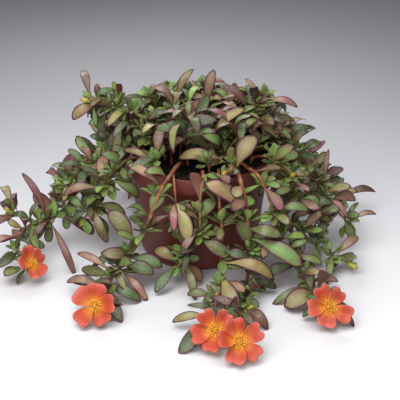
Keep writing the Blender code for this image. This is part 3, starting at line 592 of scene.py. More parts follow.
BLOOMS: dict[str, Bloom] = {
    "bloom_west": Bloom((-134, -66, 16), 312, 36, 20, 0.78),
    "bloom_south_west": Bloom((-79, -129, 16), 268, 34, 8, 0.98),
    "bloom_south": Bloom((12, -163, 16), 258, 36, 54, 1.0),
    "bloom_south_front": Bloom((29, -177, 15), 282, 40, 26, 1.0),
    "bloom_south_east": Bloom((98, -131, 16), 278, 32, 40, 0.96),
}


def facing(heading: float, rise: float) -> Vector:
    """The unit vector at a heading round +Z from +X and a rise above the horizontal.

    Args:
        heading: The turn round +Z in degrees.
        rise: The lift above the horizontal in degrees.

    Returns:
        The direction.
    """
    turn, lift = math.radians(heading), math.radians(rise)
    return Vector((math.cos(turn) * math.cos(lift), math.sin(turn) * math.cos(lift), math.sin(lift)))


def heading_and_rise(direction: Vector) -> tuple[float, float]:
    """The heading and the rise of a direction, in degrees.

    Args:
        direction: Any vector that isn't zero.

    Returns:
        Its heading and its rise.
    """
    flat = math.hypot(direction.x, direction.y)
    return math.degrees(math.atan2(direction.y, direction.x)), math.degrees(math.atan2(direction.z, flat))


def route_length(route: list) -> float:
    """The length of a route, in its own unit."""
    return sum(math.dist(a, b) for a, b in zip(route, route[1:]))


def along(route: list, share: float) -> tuple[Vector, Vector]:
    """The point and the direction at a share of a route's length.

    Args:
        route: The route's points in millimetres.
        share: The share of its length, from 0 to 1.

    Returns:
        The point in metres and the unit direction.
    """
    points = [Vector(point) * MM for point in route]
    lengths = [(b - a).length for a, b in zip(points, points[1:])]
    rest = min(max(share, 0), 1) * sum(lengths)
    for start, end, length in zip(points, points[1:], lengths):
        if rest <= length or end is points[-1]:
            return start.lerp(end, rest / length), (end - start).normalized()
        rest -= length
    raise ValueError("a route needs two points or more")


def stem_route(stem: Stem) -> list:
    """The stem's points. One that carries a bloom runs on up into the back of it.

    Args:
        stem: The stem.

    Returns:
        Its points in millimetres.
    """
    if stem.tip not in BLOOMS:
        return list(stem.route)
    bloom = BLOOMS[stem.tip]
    axis = bloom.axis * bloom.size
    back = Vector(bloom.centre) - axis * (RECEPTACLE_DEPTH + GAP) / MM
    neck = Vector(bloom.centre) - axis * (RECEPTACLE_DEPTH + BLOOM_NECK) / MM
    return list(stem.route) + [tuple(neck), tuple(back)]


def all_stems() -> Iterator[tuple[str, Stem, list]]:
    """Each shoot's name with each of its stems and that stem's points."""
    for name, stems in SHOOTS.items():
        for stem in stems:
            yield name, stem, stem_route(stem)


def outward(axis: Vector, turn: float) -> Vector:
    """The way straight out of an axis, turned round it by an angle in radians."""
    out = axis.orthogonal().normalized()
    out.rotate(Matrix.Rotation(turn, 3, axis))
    return out


def fanned(axis: Vector, turn: float, spread: float) -> tuple[float, float]:
    """The heading and rise of a leaf that leans out of an axis.

    Args:
        axis: The unit axis.
        turn: The leaf's turn round it, in radians.
        spread: How far it leans out, in degrees.

    Returns:
        Its heading and its rise.
    """
    lean = math.radians(spread)
    return heading_and_rise(axis * math.cos(lean) + outward(axis, turn) * math.sin(lean))


def sunward(leaf: Leaf) -> Leaf:
    """The leaf, rolled round its midrib until its upper face is turned most of the way to the light.

    Args:
        leaf: The leaf as the table gives it.

    Returns:
        A copy with its roll.
    """
    direction = facing(leaf.heading, leaf.rise)
    upper = facing(leaf.heading, leaf.rise + 90)
    light = facing(SUN_HEADING, SUN_RISE)
    wanted = light - direction * light.dot(direction)
    if upper.dot(wanted) < 0:
        wanted.negate()
    angle = math.degrees(math.atan2(upper.cross(wanted).dot(direction), upper.dot(wanted)))
    return replace(leaf, roll=angle * SUN_SHARE)


def whorl(axis: Vector, count: int, length: float, rng: random.Random) -> Iterator[Leaf]:
    """Leaves in a spiral round an axis, the outer ones spread and the inner ones upright.

    Args:
        axis: The middle of the whorl.
        count: How many leaves it has.
        length: Their mean length in millimetres.
        rng: The source of their differences.

    Yields:
        The leaves, outer ones first.
    """
    start = rng.uniform(0, 2 * math.pi)
    for i in range(count):
        spread = OUTER_SPREAD - (OUTER_SPREAD - INNER_SPREAD) * i / SPREAD_STEPS
        heading, rise = fanned(axis, start + GOLDEN_ANGLE * i, spread)
        size = length * rng.uniform(*WHORL_SIZES)
        width = size * rng.uniform(*WHORL_SLIMNESS)
        yield Leaf(0, heading, rise, size, width, WHORL_ARCH, rng.uniform(-WHORL_ROLL, WHORL_ROLL))


def sprig_axis(route: list, share: float, index: int) -> Vector:
    """The middle of a whorl that stands out of the stem and leans up and to the light.

    Args:
        route: The stem's points in millimetres.
        share: The whorl's place on it.
        index: Its number on the stem, which turns it round.

    Returns:
        The unit axis.
    """
    _, direction = along(route, share)
    out = outward(direction, GOLDEN_ANGLE * (index + 1))
    axis = out + UP * SPRIG_RISE + facing(SUN_HEADING, SUN_RISE) * SUN_PULL
    return axis.normalized()


def spiral(route: list, count: int, rng: random.Random) -> Iterator[Leaf]:
    """Large leaves in a spiral up a stem, turned up to the light.

    Args:
        route: The stem's points in millimetres.
        count: How many leaves it carries.
        rng: The source of their differences.

    Yields:
        The leaves from the root up.
    """
    for i in range(count):
        share = LARGE_FROM + (LARGE_TO - LARGE_FROM) * (i + rng.uniform(*SPIRAL_PLACE)) / count
        _, direction = along(route, share)
        out = outward(direction, GOLDEN_ANGLE * i + rng.uniform(-SPIRAL_TURN, SPIRAL_TURN))
        heading, rise = heading_and_rise(direction * SPIRAL_ALONG + out + UP * SPIRAL_UP)
        size = rng.uniform(*LARGE_LENGTH)
        width = size * LARGE_SLIMNESS * rng.uniform(*SPIRAL_SLIMNESS)
        roll = rng.uniform(-SPIRAL_ROLL, SPIRAL_ROLL)
        yield Leaf(share, heading, rise, size, width, LEAF_ARCH, roll)


@dataclass
class Blade:
    """A leaf with a settled place, in metres, ready to be modelled."""

    base: Vector
    heading: float
    rise: float
    roll: float
    length: float
    width: float
    arch: float
    thick: float
    tone: Tone = Tone.GREEN
    youth: float = 0.0
    curl: float = 0.1
    swerve: float = 0.0
    young: bool = False

    @property
    def direction(self) -> Vector:
        """The way from the leaf's base to its tip."""
        return facing(self.heading, self.rise)

    @property
    def tip(self) -> Vector:
        """The leaf's tip."""
        return self.base + self.direction * self.length

    def axes(self) -> tuple[np.ndarray, np.ndarray, np.ndarray]:
        """The leaf's direction, its way across and its upper side."""
        direction = self.direction
        upper = facing(self.heading, self.rise + 90)
        upper.rotate(Matrix.Rotation(math.radians(self.roll), 3, direction))
        return np.array(direction), np.array(direction.cross(upper)), np.array(upper)


def settle(leaf: Leaf, route: list, turn: float = 0, lift: float = 0, scale: float = 1) -> Blade:
    """The blade that a leaf becomes on its stem.

    Args:
        leaf: The leaf.
        route: The stem's points in millimetres.
        turn: Degrees added to its heading.
        lift: Degrees added to its rise.
        scale: A factor on its size.

    Returns:
        The blade, with its base on the stem's line.
    """
    base, _ = along(route, min(leaf.at, 1 - LEAF_INSET / max(1, route_length(route))))
    thick = SMALL_LEAF_THICK if leaf.length < SMALL_LEAF else LEAF_THICK
    length = leaf.length * scale * MM
    return Blade(
        base, leaf.heading + turn, leaf.rise + lift, leaf.roll, length, leaf.width * scale * MM,
        leaf.arch * length, thick, leaf.tone,
    )


@dataclass(frozen=True)
class Gap:
    """A gap in the leaves, in millimetres, through which the pot or the mix shows from the front."""

    centre: tuple[float, float, float]
    wide: float
    high: float

    def points(self, step: float) -> np.ndarray:
        """Points that fill the air in front of the gap, a step apart."""
        towards = np.array(facing(SUN_HEADING, VIEW_RISE))
        above = -np.array(facing(SUN_HEADING, VIEW_RISE + 90))
        sides = np.arange(-self.wide / 2, self.wide / 2, step / MM)
        heights = np.arange(-self.high / 2, self.high / 2, step / MM)
        depths = np.arange(0, GAP_DEPTH, step / MM)
        side, height, depth = (axis.ravel()[:, None] for axis in np.meshgrid(sides, heights, depths))
        place = np.array(self.centre) + side * np.array([1, 0, 0]) + height * above + depth * towards
        return place * MM


VIEW_RISE = 27
GAP_DEPTH = 70
GAPS = [
    Gap((-18, -10, 80), 24, 16), Gap((43, -15, 84), 16, 12), Gap((40, -60, 84), 14, 18),
    Gap((-17, -60, 80), 24, 10), Gap((-40, -55, 65), 12, 16), Gap((-35, -52, 26), 20, 24),
    Gap((10, -50, 15), 20, 16), Gap((115, 5, 5), 14, 22), Gap((95, -25, 5), 16, 10),
    Gap((90, 40, 5), 12, 12),
]


class Room:
    """A block of small cells that remembers what is filled, so that a new leaf finds free room."""

    CELL = 1.7 * MM
    MARGIN = 30 * MM

    def __init__(self) -> None:
        """Takes the CAD model's box, with a margin."""
        low, high = (np.array(corner, float) for corner in CAD_BOX)
        self.low = low - self.MARGIN
        self.size = np.ceil((high - low + 2 * self.MARGIN) / self.CELL).astype(int)
        self.filled = np.zeros(self.size, bool)

    def _cells(self, points: np.ndarray) -> tuple[np.ndarray, ...]:
        """The cells that hold the points, as three arrays of indices."""
        cells = np.clip(((points - self.low) / self.CELL).astype(int), 0, self.size - 1)
        return tuple(cells.T)

    def take(self, points: np.ndarray) -> None:
        """Fills the cells of the points."""
        self.filled[self._cells(points)] = True

    def crowding(self, points: np.ndarray) -> float:
        """The share of the points that lie in filled cells."""
        return float(self.filled[self._cells(points)].mean())


def deselect_all() -> None:
    """Leaves no object selected."""
    if bpy.context.object and bpy.context.object.mode != "OBJECT":
        bpy.ops.object.mode_set(mode="OBJECT")
    bpy.ops.object.select_all(action="DESELECT")


def choose(*objects: bpy.types.Object) -> None:
    """Selects these objects alone, the last one active."""
    deselect_all()
    for piece in objects:
        piece.select_set(True)
    bpy.context.view_layer.objects.active = objects[-1]


def settle_transform(piece: bpy.types.Object) -> None:
    """Moves a piece's place into its mesh, so that its object stands at the origin."""
    choose(piece)
    bpy.ops.object.transform_apply(location=True, rotation=True, scale=True)


def mesh_object(name: str, points: np.ndarray, faces: list) -> bpy.types.Object:
    """A piece from points and faces.

    Args:
        name: Its name.
        points: One row of three coordinates a point, in metres.
        faces: The corners of each face.

    Returns:
        The piece, linked to the scene.
    """
    mesh = bpy.data.meshes.new(name)
    mesh.from_pydata(points.tolist(), [], faces)
    mesh.update()
    piece = bpy.data.objects.new(name, mesh)
    bpy.context.collection.objects.link(piece)
    mesh.polygons.foreach_set("use_smooth", np.ones(len(mesh.polygons), bool))
    return piece


def paint_points(piece: bpy.types.Object, name: str, rows: np.ndarray) -> None:
    """Gives a piece's points an attribute: a vector for three columns, a colour for four.

    Args:
        piece: The piece.
        name: The attribute's name.
        rows: One row for each point.
    """
    rows = np.asarray(rows, np.float32)
    is_colour = rows.shape[1] == 4
    kind = "FLOAT_COLOR" if is_colour else "FLOAT_VECTOR"
    attribute = piece.data.attributes.new(name, kind, "POINT")
    attribute.data.foreach_set("color" if is_colour else "vector", rows.ravel())


def taken_apart(piece: bpy.types.Object) -> tuple[np.ndarray, list[tuple[int, ...]]]:
    """The points and the faces of a piece, which is then removed.

    Args:
        piece: A mesh that the next step only needs as arrays.

    Returns:
        Its points where they stand, and the corners of each face.
    """
    points = np.array([piece.matrix_world @ vertex.co for vertex in piece.data.vertices])
    faces = [tuple(face.vertices) for face in piece.data.polygons]
    bpy.data.objects.remove(piece)
    return points, faces


def unit_ball(around: int = 0, rings: int = 0) -> tuple[np.ndarray, list[tuple[int, ...]]]:
    """A ball of radius 1 as arrays: a plain one, or one with poles.

    Args:
        around: Points round it, or 0 for a plain one.
        rings: Rings from pole to pole.

    Returns:
        Its points and faces.
    """
    deselect_all()
    if around:
        bpy.ops.mesh.primitive_uv_sphere_add(segments=around, ring_count=rings, radius=1)
    else:
        bpy.ops.mesh.primitive_ico_sphere_add(subdivisions=1, radius=1)
    return taken_apart(bpy.context.object)


class Bundle:
    """Blocks of points and faces that are gathered into one mesh, with values painted on its points."""

    def __init__(self) -> None:
        """Starts empty."""
        self.points: list[np.ndarray] = []
        self.faces: list[tuple[int, ...]] = []
        self.layers: dict[str, list[np.ndarray]] = {}
        self.count = 0

    def gather(self, points: np.ndarray, faces: list[tuple[int, ...]], **layers: np.ndarray) -> None:
        """Keeps a block.

        Args:
            points: Its points.
            faces: The corners of its faces, counted within the block.
            layers: For each attribute, one row for all its points or a row for each.
        """
        self.points.append(points)
        self.faces += [tuple(corner + self.count for corner in face) for face in faces]
        self.count += len(points)
        for name, rows in layers.items():
            shape = (len(points), np.shape(rows)[-1])
            self.layers.setdefault(name, []).append(np.broadcast_to(rows, shape))

    def piece(self, name: str) -> bpy.types.Object:
        """The finished mesh, with its attributes."""
        made = mesh_object(name, np.vstack(self.points), self.faces)
        for layer, rows in self.layers.items():
            paint_points(made, layer, np.vstack(rows))
        return made


@dataclass(frozen=True)
class LeafShape:
    """The outline and section of a kind of leaf, in shares of its own size."""

    name: str
    around: int
    rings: int
    fullness: float = 1.65
    roundness: float = 0.5
    base: float = 0.3
    base_reach: float = 0.55
    cup: float = 0.3
    crease: float = 0.0


class LeafForm:
    """A leaf in its own measures, modelled once and bent into place for each leaf of the plant."""

    TIP_CROWDING = 1.7
    CURL_FROM = 0.5
    CURL_PULL = 0.4
    EDGE_FROM = 0.9
    FLOOR = 0.3 * MM
    POLE = 0.0001

    def __init__(self, shape: LeafShape) -> None:
        """Models the form.

        Args:
            shape: Its outline and section.
        """
        self.shape = shape
        points, self.faces = unit_ball(shape.around, shape.rings)
        ring = np.arccos(np.clip(-points[:, 2], -1, 1)) / math.pi
        radius = np.hypot(points[:, 0], points[:, 1])
        pole = radius < self.POLE
        steady = np.where(pole, 1, radius)
        self.side = np.where(pole, 0, points[:, 0] / steady)
        self.face = np.where(pole, 0, points[:, 1] / steady)
        self.place = 1 - (1 - ring) ** self.TIP_CROWDING
        grown = np.minimum(1, self.place / shape.base_reach)
        neck = shape.base + (1 - shape.base) * grown * grown * (3 - 2 * grown)
        full = np.maximum(0, np.sin(math.pi * self.place**shape.fullness)) ** shape.roundness
        self.wide = full * neck

    def bend(self, blade: Blade) -> np.ndarray:
        """The form's points on a blade.

        Args:
            blade: The blade to follow.

        Returns:
            One row of three coordinates for each point.
        """
        direction, across, upper = blade.axes()
        half = self.wide * blade.width / 2
        sharp = np.where(np.abs(self.side) > self.EDGE_FROM, 0.5, 1)
        body = blade.thick / 2 * (1 - 0.5 * self.place**3) * sharp
        late = np.maximum(0, self.place - self.CURL_FROM) / (1 - self.CURL_FROM)
        lift = blade.arch * 4 * self.place * (1 - self.place) + self.shape.cup * self.side**2 * half
        lift = lift + self.shape.crease * np.abs(self.side) * half
        lift = lift + self.face * body - blade.curl * blade.length * late**2
        reach = blade.length * (self.place - self.CURL_PULL * abs(blade.curl) * late**2)
        swing = self.side * half + blade.swerve * blade.length * self.place**2
        points = (
            np.array(blade.base) + np.outer(reach, direction) + np.outer(swing, across)
            + np.outer(lift, upper)
        )
        points[:, 2] = np.maximum(points[:, 2], self.FLOOR)
        return points


@dataclass(frozen=True)
class Habit:
    """How the leaves at the nodes of one kind of stem vary. Each pair is a range."""

    lengths: tuple[int, int]
    arches: tuple[float, float]
    slimness: tuple[float, float]
    curls: tuple[float, float]
    weights: tuple[int, ...]


LEAF_TONES = (Tone.GREEN, Tone.DARK, Tone.OLIVE, Tone.PINK, Tone.BRIGHT, Tone.MAROON)
DROOP_TONES = (Tone.MAROON, Tone.PINK, Tone.OLIVE, Tone.DARK)
FOUNTAIN_WEIGHTS = (26, 26, 22, 9, 6, 11)
STEM_HABIT = Habit((16, 28), (-0.05, 0.18), (0.28, 0.42), (-0.05, 0.28), (40, 16, 18, 12, 10, 4))
POT_HABIT = replace(STEM_HABIT, lengths=(19, 31))
CROWN_HABIT = Habit((24, 38), (0.1, 0.26), (0.22, 0.33), (0.05, 0.34), (20, 26, 22, 12, 6, 14))


class Growth:
    """The plant's leaves and the room that they take up, beginning with the ones that the solids have."""

    SHOWN_FROM = 24 * MM
    SHOWN_DEPTH = 30 * MM
    SHOWN_GAP = 2 * MM
    SHOWN_PLACE = 0.25
    OUTER_PLACE = 0.3
    LOWEST = 0.6 * MM
    CROWDED = 0.14
    YOUTH = 0.5
    MATCHED_CURLS = (0.0, 0.2)
    MATCHED_SWERVE = 0.06

    def __init__(self, room: Room, form: LeafForm) -> None:
        """Takes the room that is left round the pot and the blooms.

        Args:
            room: What is filled so far.
            form: The form that stands for a leaf when its room is tested.
        """
        self.room = room
        self.form = form
        self.rng = random.Random(SEED)
        self.rng_looks = random.Random(SEED + 1)
        self.blades: dict[str, list[Blade]] = {name: [] for name in SHOOTS}
        self.extra_stems: dict[str, list[tuple[list, float]]] = {name: [] for name in SHOOTS}
        self.buds: dict[str, list[tuple[Vector, Vector, float]]] = {name: [] for name in SHOOTS}
        self.skipped = 0

    def repeat_solids(self) -> None:
        """Grows the solids' own leaves again, in the part's order, each where its CAD tip is."""
        trees = {name: tip_tree(name) for name in SHOOTS}
        rng = self.rng
        for name, stem, route in all_stems():
            chosen = [
                replace(sunward(leaf), tone=Tone(letter), width=leaf.width * CHOSEN_WIDTH)
                for leaf, letter in zip(stem.leaves, stem.tones)
            ]
            for leaf in chosen + list(spiral(route, stem.large, rng)):
                self._match(trees[name], name, route, leaf)
        for name, stem, route in all_stems():
            tufts = [
                (share, sprig_axis(route, share, i), SPRIG_LEAVES, SPRIG_LENGTH)
                for i, share in enumerate(stem.sprigs)
            ]
            place, axis = along(route, 1)
            if stem.tip == "tuft":
                tufts.append((1, (axis + UP * TIP_UP).normalized(), TIP_LEAVES, TIP_LENGTH))
            elif stem.tip == "bud":
                self.buds[name].append((place, axis, 1.0))
                tufts.append((BUD_LEAF_PLACE, axis, TIP_LEAVES, TIP_LENGTH))
            for at, middle, count, length in tufts:
                for leaf in whorl(middle, count, length, rng):
                    self._match(trees[name], name, route, replace(leaf, at=at, tone=Tone.BRIGHT))

    def _match(self, tree: KDTree, name: str, route: list, leaf: Leaf) -> None:
        """Adds the try of a leaf whose tip is a corner of the CAD solid, if there is one."""
        for turn, lift, scale in TRIES:
            blade = settle(leaf, route, turn, lift, scale)
            _, _, distance = tree.find(blade.tip)
            if distance < TIP_MATCH:
                blade.young = leaf.tone is Tone.BRIGHT and leaf.length < SMALL_LEAF
                blade.youth = self.YOUTH if blade.young else 0.0
                blade.curl = self.rng_looks.uniform(*self.MATCHED_CURLS)
                blade.swerve = self.rng_looks.uniform(-self.MATCHED_SWERVE, self.MATCHED_SWERVE)
                self.add(name, blade)
                return
        self.skipped += 1

    def keep_in_view(self) -> None:
        """Keeps the air clear in front of the large chosen leaves, so that the front shows them."""
        towards = np.array(facing(SUN_HEADING, VIEW_RISE))
        for blades in self.blades.values():
            for blade in blades:
                if blade.length < self.SHOWN_FROM:
                    continue
                outer = self.form.bend(blade)[self.form.place > self.SHOWN_PLACE]
                for depth in np.arange(self.SHOWN_GAP, self.SHOWN_DEPTH, Room.CELL):
                    self.room.take(outer + towards * depth)

    def add(self, name: str, blade: Blade) -> None:
        """Keeps a blade and fills its room."""
        self.blades[name].append(blade)
        points = self.form.bend(blade)
        self.room.take(points)

    def offer(self, name: str, blade: Blade, crowded: float = CROWDED) -> None:
        """Adds a blade where there is room for it.

        Args:
            name: The shoot that would carry it.
            blade: The blade.
            crowded: The share of it that may lie in filled cells.
        """
        outer = self.form.bend(blade)[self.form.place > self.OUTER_PLACE]
        if outer[:, 2].min() >= self.LOWEST and self.room.crowding(outer) <= crowded:
            self.add(name, blade)


class Thicket(Growth):
    """The many small leaves, rosettes and short shoots that the solids leave out."""

    MIX_TOP = 80
    ROOTED = 77

    # The share of a leaf that may lie in filled room, where it isn't the usual one
    CROWDED_DROOP = 0.2
    CROWDED_NECK = 0.3
    CROWDED_SPRIG = 0.42

    # Tight rosettes at the sprigs and tips, and the closed buds in some of them
    BUD_CHANCE = 0.14
    BUD_OFFSET = 4
    BUD_SIZES = (0.6, 0.85)
    SPRIG_COUNT = 10
    SPRIG_INNER = 8
    SPRIG_OUTER = 15
    SPRIG_SPREAD = 78
    SPRIG_CLOSING = 58
    SPRIG_SIZES = (0.88, 1.14)
    SPRIG_BRIGHT = (0.15, 0.45)
    SPRIG_LIFT = 0.25
    SPRIG_ROLL = 15
    SPRIG_SLIMNESS = (0.38, 0.5)
    SPRIG_ARCH = -0.1
    SPRIG_THICK = 0.9
    SPRIG_YOUTH = (0.4, 0.6)
    SPRIG_CURLS = (-0.05, 0.14)

    # Leaves at the nodes of every stem, and the rosettes at some of them
    NODE_SPACING = 12
    NODE_FROM = 0.1
    NODE_TO = 0.97
    NODE_PLACE = (0.2, 0.8)
    NODE_TURN = math.pi * 0.7
    NODE_STRAY = 0.5
    NODE_ALONG = 0.5
    NODE_UP = 0.35
    NODE_SUN = 0.3
    NODE_ROLL = 30
    NODE_SWERVE = 0.12
    ROOT_CLEARANCE = 26
    POT_FRONT = -35 * MM
    POT_SIDE = 62 * MM
    POT_HIGH = 95 * MM
    SIDE_EVERY = 4
    SIDE_COUNT = 6
    SIDE_SCALE = 0.85
    SIDE_OFFSET = 3
    SIDE_TURN = 2
    SIDE_OUT = 0.8
    SIDE_UP = 0.6
    SIDE_SUN = 0.5

    # The crown's inner shoots and the long leaves at their tips
    CROWN_SHOOTS = 46
    CROWN_RADIUS = 50
    CROWN_SPAN = 64
    CROWN_TOP = 124
    CROWN_LOW = 92
    CROWN_FRONT = -24
    CROWN_HEIGHTS = (0.55, 1)
    CROWN_LEAN = 1.1
    CROWN_LEANING = 0.1
    CROWN_BOW = 1.02
    CROWN_STRAY = 4
    CROWN_GIRTHS = (1.6, 2.3)
    CROWN_SUN = 0.2
    CROWN_SUN_RISE = 20
    CROWN_ROSETTE_EVERY = 5
    CROWN_ROSETTE = 9
    CROWN_ROSETTES = (0.9, 1.15)
    CROWN_NODES = 3
    CROWN_NODE_STEP = 0.2
    CROWN_LEAVES = 6
    CROWN_SPREAD = 74
    CROWN_CLOSING = 9
    CROWN_SPREADING = 8
    CROWN_SHORTER = 0.05
    CROWN_ROLL = 25
    CROWN_SLIMNESS = (0.22, 0.32)
    CROWN_ARCHES = (0.06, 0.2)
    CROWN_CURLS = (0.05, 0.4)
    CROWN_SWERVE = 0.15

    # Leaves near the stems' ends whose tips hang down
    DROOP_LEAVES = 5
    DROOP_FROM = 0.66
    DROOP_STEP = 0.08
    DROOP_TURN = 0.6
    DROOP_ALONG = 0.6
    DROOP_UP = 0.2
    DROOP_LENGTHS = (24, 36)
    DROOP_SLIMNESS = (0.18, 0.26)
    DROOP_ARCH = 0.14
    DROOP_CURLS = (0.15, 0.4)
    DROOP_SWERVE = 0.18

    # Short stems over the back of the rim: each one's turn and shoot, and their points' reach and height
    BACK_HOSTS = {
        28: "back_right", 52: "back_right", 74: "back_middle", 98: "back_middle", 122: "back_left",
        147: "back_left",
    }
    BACK_ROUTE = ((44, 77), (55, 92), (67, 88), (74, 66))
    BACK_END = 79
    BACK_LOW = (22, 46)
    BACK_GIRTHS = (1.9, 2.5)
    BACK_NODES = 9
    BACK_FROM = 0.3
    BACK_STEP = 0.075
    BACK_UP = 0.7
    BACK_OUT = 0.6
    BACK_COUNT = 9

    # Dark leaves behind each bloom
    NECK_LEAVES = 9
    NECK_DEPTH = 2 * MM
    NECK_BACK = -0.25
    NECK_LENGTHS = (19, 25)
    NECK_ROLL = 20
    NECK_SLIMNESS = 0.3
    NECK_ARCH = 0.04
    NECK_COUNT = 6
    NECK_PLACE = 0.9
    NECK_SCALE = 1.1

    def rosette(self, name: str, base: Vector, axis: Vector, count: int, scale: float = 1.0) -> None:
        """A tight whorl: spread leaves outside and small bright ones that stand up inside.

        Args:
            name: The shoot that carries it.
            base: Its place.
            axis: Its middle.
            count: How many leaves it may have.
            scale: A factor on its size.
        """
        rng = self.rng
        if rng.random() < self.BUD_CHANCE:
            place = base + axis * self.BUD_OFFSET * MM
            self.buds[name].append((place, axis, rng.uniform(*self.BUD_SIZES)))
        start = rng.uniform(0, 2 * math.pi)
        for i in range(count):
            share = i / count
            spread = self.SPRIG_SPREAD - self.SPRIG_CLOSING * share
            heading, rise = fanned(axis, start + GOLDEN_ANGLE * i, spread)
            length = (self.SPRIG_OUTER + (self.SPRIG_INNER - self.SPRIG_OUTER) * share) * scale
            length *= rng.uniform(*self.SPRIG_SIZES) * MM
            least, more = self.SPRIG_BRIGHT
            tone = Tone.BRIGHT if rng.random() < least + more * share else Tone.GREEN
            least, more = self.SPRIG_YOUTH
            blade = Blade(
                base + axis * (length * self.SPRIG_LIFT * share), heading, rise,
                rng.uniform(-self.SPRIG_ROLL, self.SPRIG_ROLL), length,
                length * rng.uniform(*self.SPRIG_SLIMNESS), self.SPRIG_ARCH * length,
                SMALL_LEAF_THICK * self.SPRIG_THICK, tone, least + more * share,
                curl=rng.uniform(*self.SPRIG_CURLS), young=True,
            )
            self.offer(name, blade, self.CROWDED_SPRIG)

    def fill_stems(self) -> None:
        """Sets rosettes at the sprigs and tips, and leaves at every node of the stems."""
        for name, stem, route in all_stems():
            for i, share in enumerate(stem.sprigs):
                base, _ = along(route, share)
                self.rosette(name, base, sprig_axis(route, share, i), self.SPRIG_COUNT)
            if stem.tip == "tuft":
                base, axis = along(route, 1)
                self.rosette(name, base, (axis + UP * TIP_UP).normalized(), self.SPRIG_COUNT)
        for name, stem, route in all_stems():
            reach = route_length(route)
            rooted = stem.route[0][2] < self.MIX_TOP
            begin = self.ROOT_CLEARANCE / reach if rooted else self.NODE_FROM
            nodes = int((1 - begin) * reach / self.NODE_SPACING)
            for i in range(nodes):
                place = i + self.rng.uniform(*self.NODE_PLACE)
                self._node(name, route, begin + (self.NODE_TO - begin) * place / nodes, i)
            if not name.startswith("crown"):
                self._droop(name, route)

    def _node(self, name: str, route: list, share: float, index: int, crown: bool = False) -> None:
        """Leaves at one node of a stem, and at some nodes a small side rosette.

        Args:
            name: The shoot.
            route: The stem's points in millimetres.
            share: The node's place on it.
            index: The node's number, which turns it round.
            crown: Whether its leaves are the long, dark, arching ones of the crown.
        """
        rng = self.rng
        base, direction = along(route, share)
        light = facing(SUN_HEADING, SUN_RISE)
        over_pot = base.y < self.POT_FRONT and abs(base.x) < self.POT_SIDE and base.z < self.POT_HIGH
        habit = CROWN_HABIT if crown else POT_HABIT if over_pot else STEM_HABIT
        for k in range(2 if over_pot else 3):
            turn = GOLDEN_ANGLE * index + self.NODE_TURN * k
            out = outward(direction, turn + rng.uniform(-self.NODE_STRAY, self.NODE_STRAY))
            heading, rise = heading_and_rise(
                direction * self.NODE_ALONG + out + UP * self.NODE_UP + light * self.NODE_SUN
            )
            length = rng.uniform(*habit.lengths)
            arch = rng.uniform(*habit.arches)
            leaf = sunward(Leaf(share, heading, rise, length, length * rng.uniform(*habit.slimness), arch))
            leaf.roll += rng.uniform(-self.NODE_ROLL, self.NODE_ROLL)
            leaf.tone = rng.choices(LEAF_TONES, habit.weights)[0]
            blade = settle(leaf, route)
            blade.curl = rng.uniform(*habit.curls)
            blade.swerve = rng.uniform(-self.NODE_SWERVE, self.NODE_SWERVE)
            self.offer(name, blade)
        if index % self.SIDE_EVERY == 1:
            out = outward(direction, GOLDEN_ANGLE * index + self.SIDE_TURN)
            axis = (out * self.SIDE_OUT + UP * self.SIDE_UP + light * self.SIDE_SUN).normalized()
            foot = base + axis * self.SIDE_OFFSET * MM
            self.rosette(name, foot, axis, self.SIDE_COUNT, self.SIDE_SCALE)

    def fill_crown(self) -> None:
        """Grows the crown's inner shoots, which the solids leave out, from the potting mix up."""
        rng = self.rng
        hosts = [name for name in SHOOTS if name.startswith("crown")]
        stray, bow = self.CROWN_STRAY, self.CROWN_BOW
        for i in range(self.CROWN_SHOOTS):
            radius = self.CROWN_RADIUS * math.sqrt((i + 0.5) / self.CROWN_SHOOTS)
            turn = GOLDEN_ANGLE * i
            x, y = radius * math.cos(turn), radius * math.sin(turn)
            if y < self.CROWN_FRONT:
                continue
            dome = (self.CROWN_TOP - self.CROWN_LOW) * (1 - (radius / self.CROWN_SPAN) ** 2)
            height = dome * rng.uniform(*self.CROWN_HEIGHTS) + self.CROWN_LOW
            lean = self.CROWN_LEAN + self.CROWN_LEANING * rng.random()
            route = [
                (x, y, self.ROOTED), (x * bow, y * bow, (self.MIX_TOP + height) / 2),
                (x * lean + rng.uniform(-stray, stray), y * lean + rng.uniform(-stray, stray), height),
            ]
            name = min(hosts, key=lambda host: math.dist(SHOOTS[host][0].route[0][:2], (x, y)))
            self.extra_stems[name].append((route, rng.uniform(*self.CROWN_GIRTHS)))
            base, axis = along(route, 1)
            axis = (axis + facing(SUN_HEADING, self.CROWN_SUN_RISE) * self.CROWN_SUN).normalized()
            if i % self.CROWN_ROSETTE_EVERY:
                self._fountain(name, base, axis)
            else:
                self.rosette(name, base, axis, self.CROWN_ROSETTE, rng.uniform(*self.CROWN_ROSETTES))
            for k in range(1, self.CROWN_NODES + 1):
                self._node(name, route, 1 - self.CROWN_NODE_STEP * k, i + k, crown=True)

    def _droop(self, name: str, route: list) -> None:
        """Long thin leaves near a stem's end, whose tips hang down."""
        rng = self.rng
        for i in range(self.DROOP_LEAVES):
            share = self.DROOP_FROM + self.DROOP_STEP * i
            _, direction = along(route, share)
            turn = GOLDEN_ANGLE * i + rng.uniform(-self.DROOP_TURN, self.DROOP_TURN)
            out = outward(direction, turn)
            heading, rise = heading_and_rise(direction * self.DROOP_ALONG + out + UP * self.DROOP_UP)
            length = rng.uniform(*self.DROOP_LENGTHS)
            width = length * rng.uniform(*self.DROOP_SLIMNESS)
            leaf = sunward(Leaf(share, heading, rise, length, width, self.DROOP_ARCH))
            leaf.tone = rng.choice(DROOP_TONES)
            blade = settle(leaf, route)
            blade.curl = rng.uniform(*self.DROOP_CURLS)
            blade.swerve = rng.uniform(-self.DROOP_SWERVE, self.DROOP_SWERVE)
            self.offer(name, blade, self.CROWDED_DROOP)

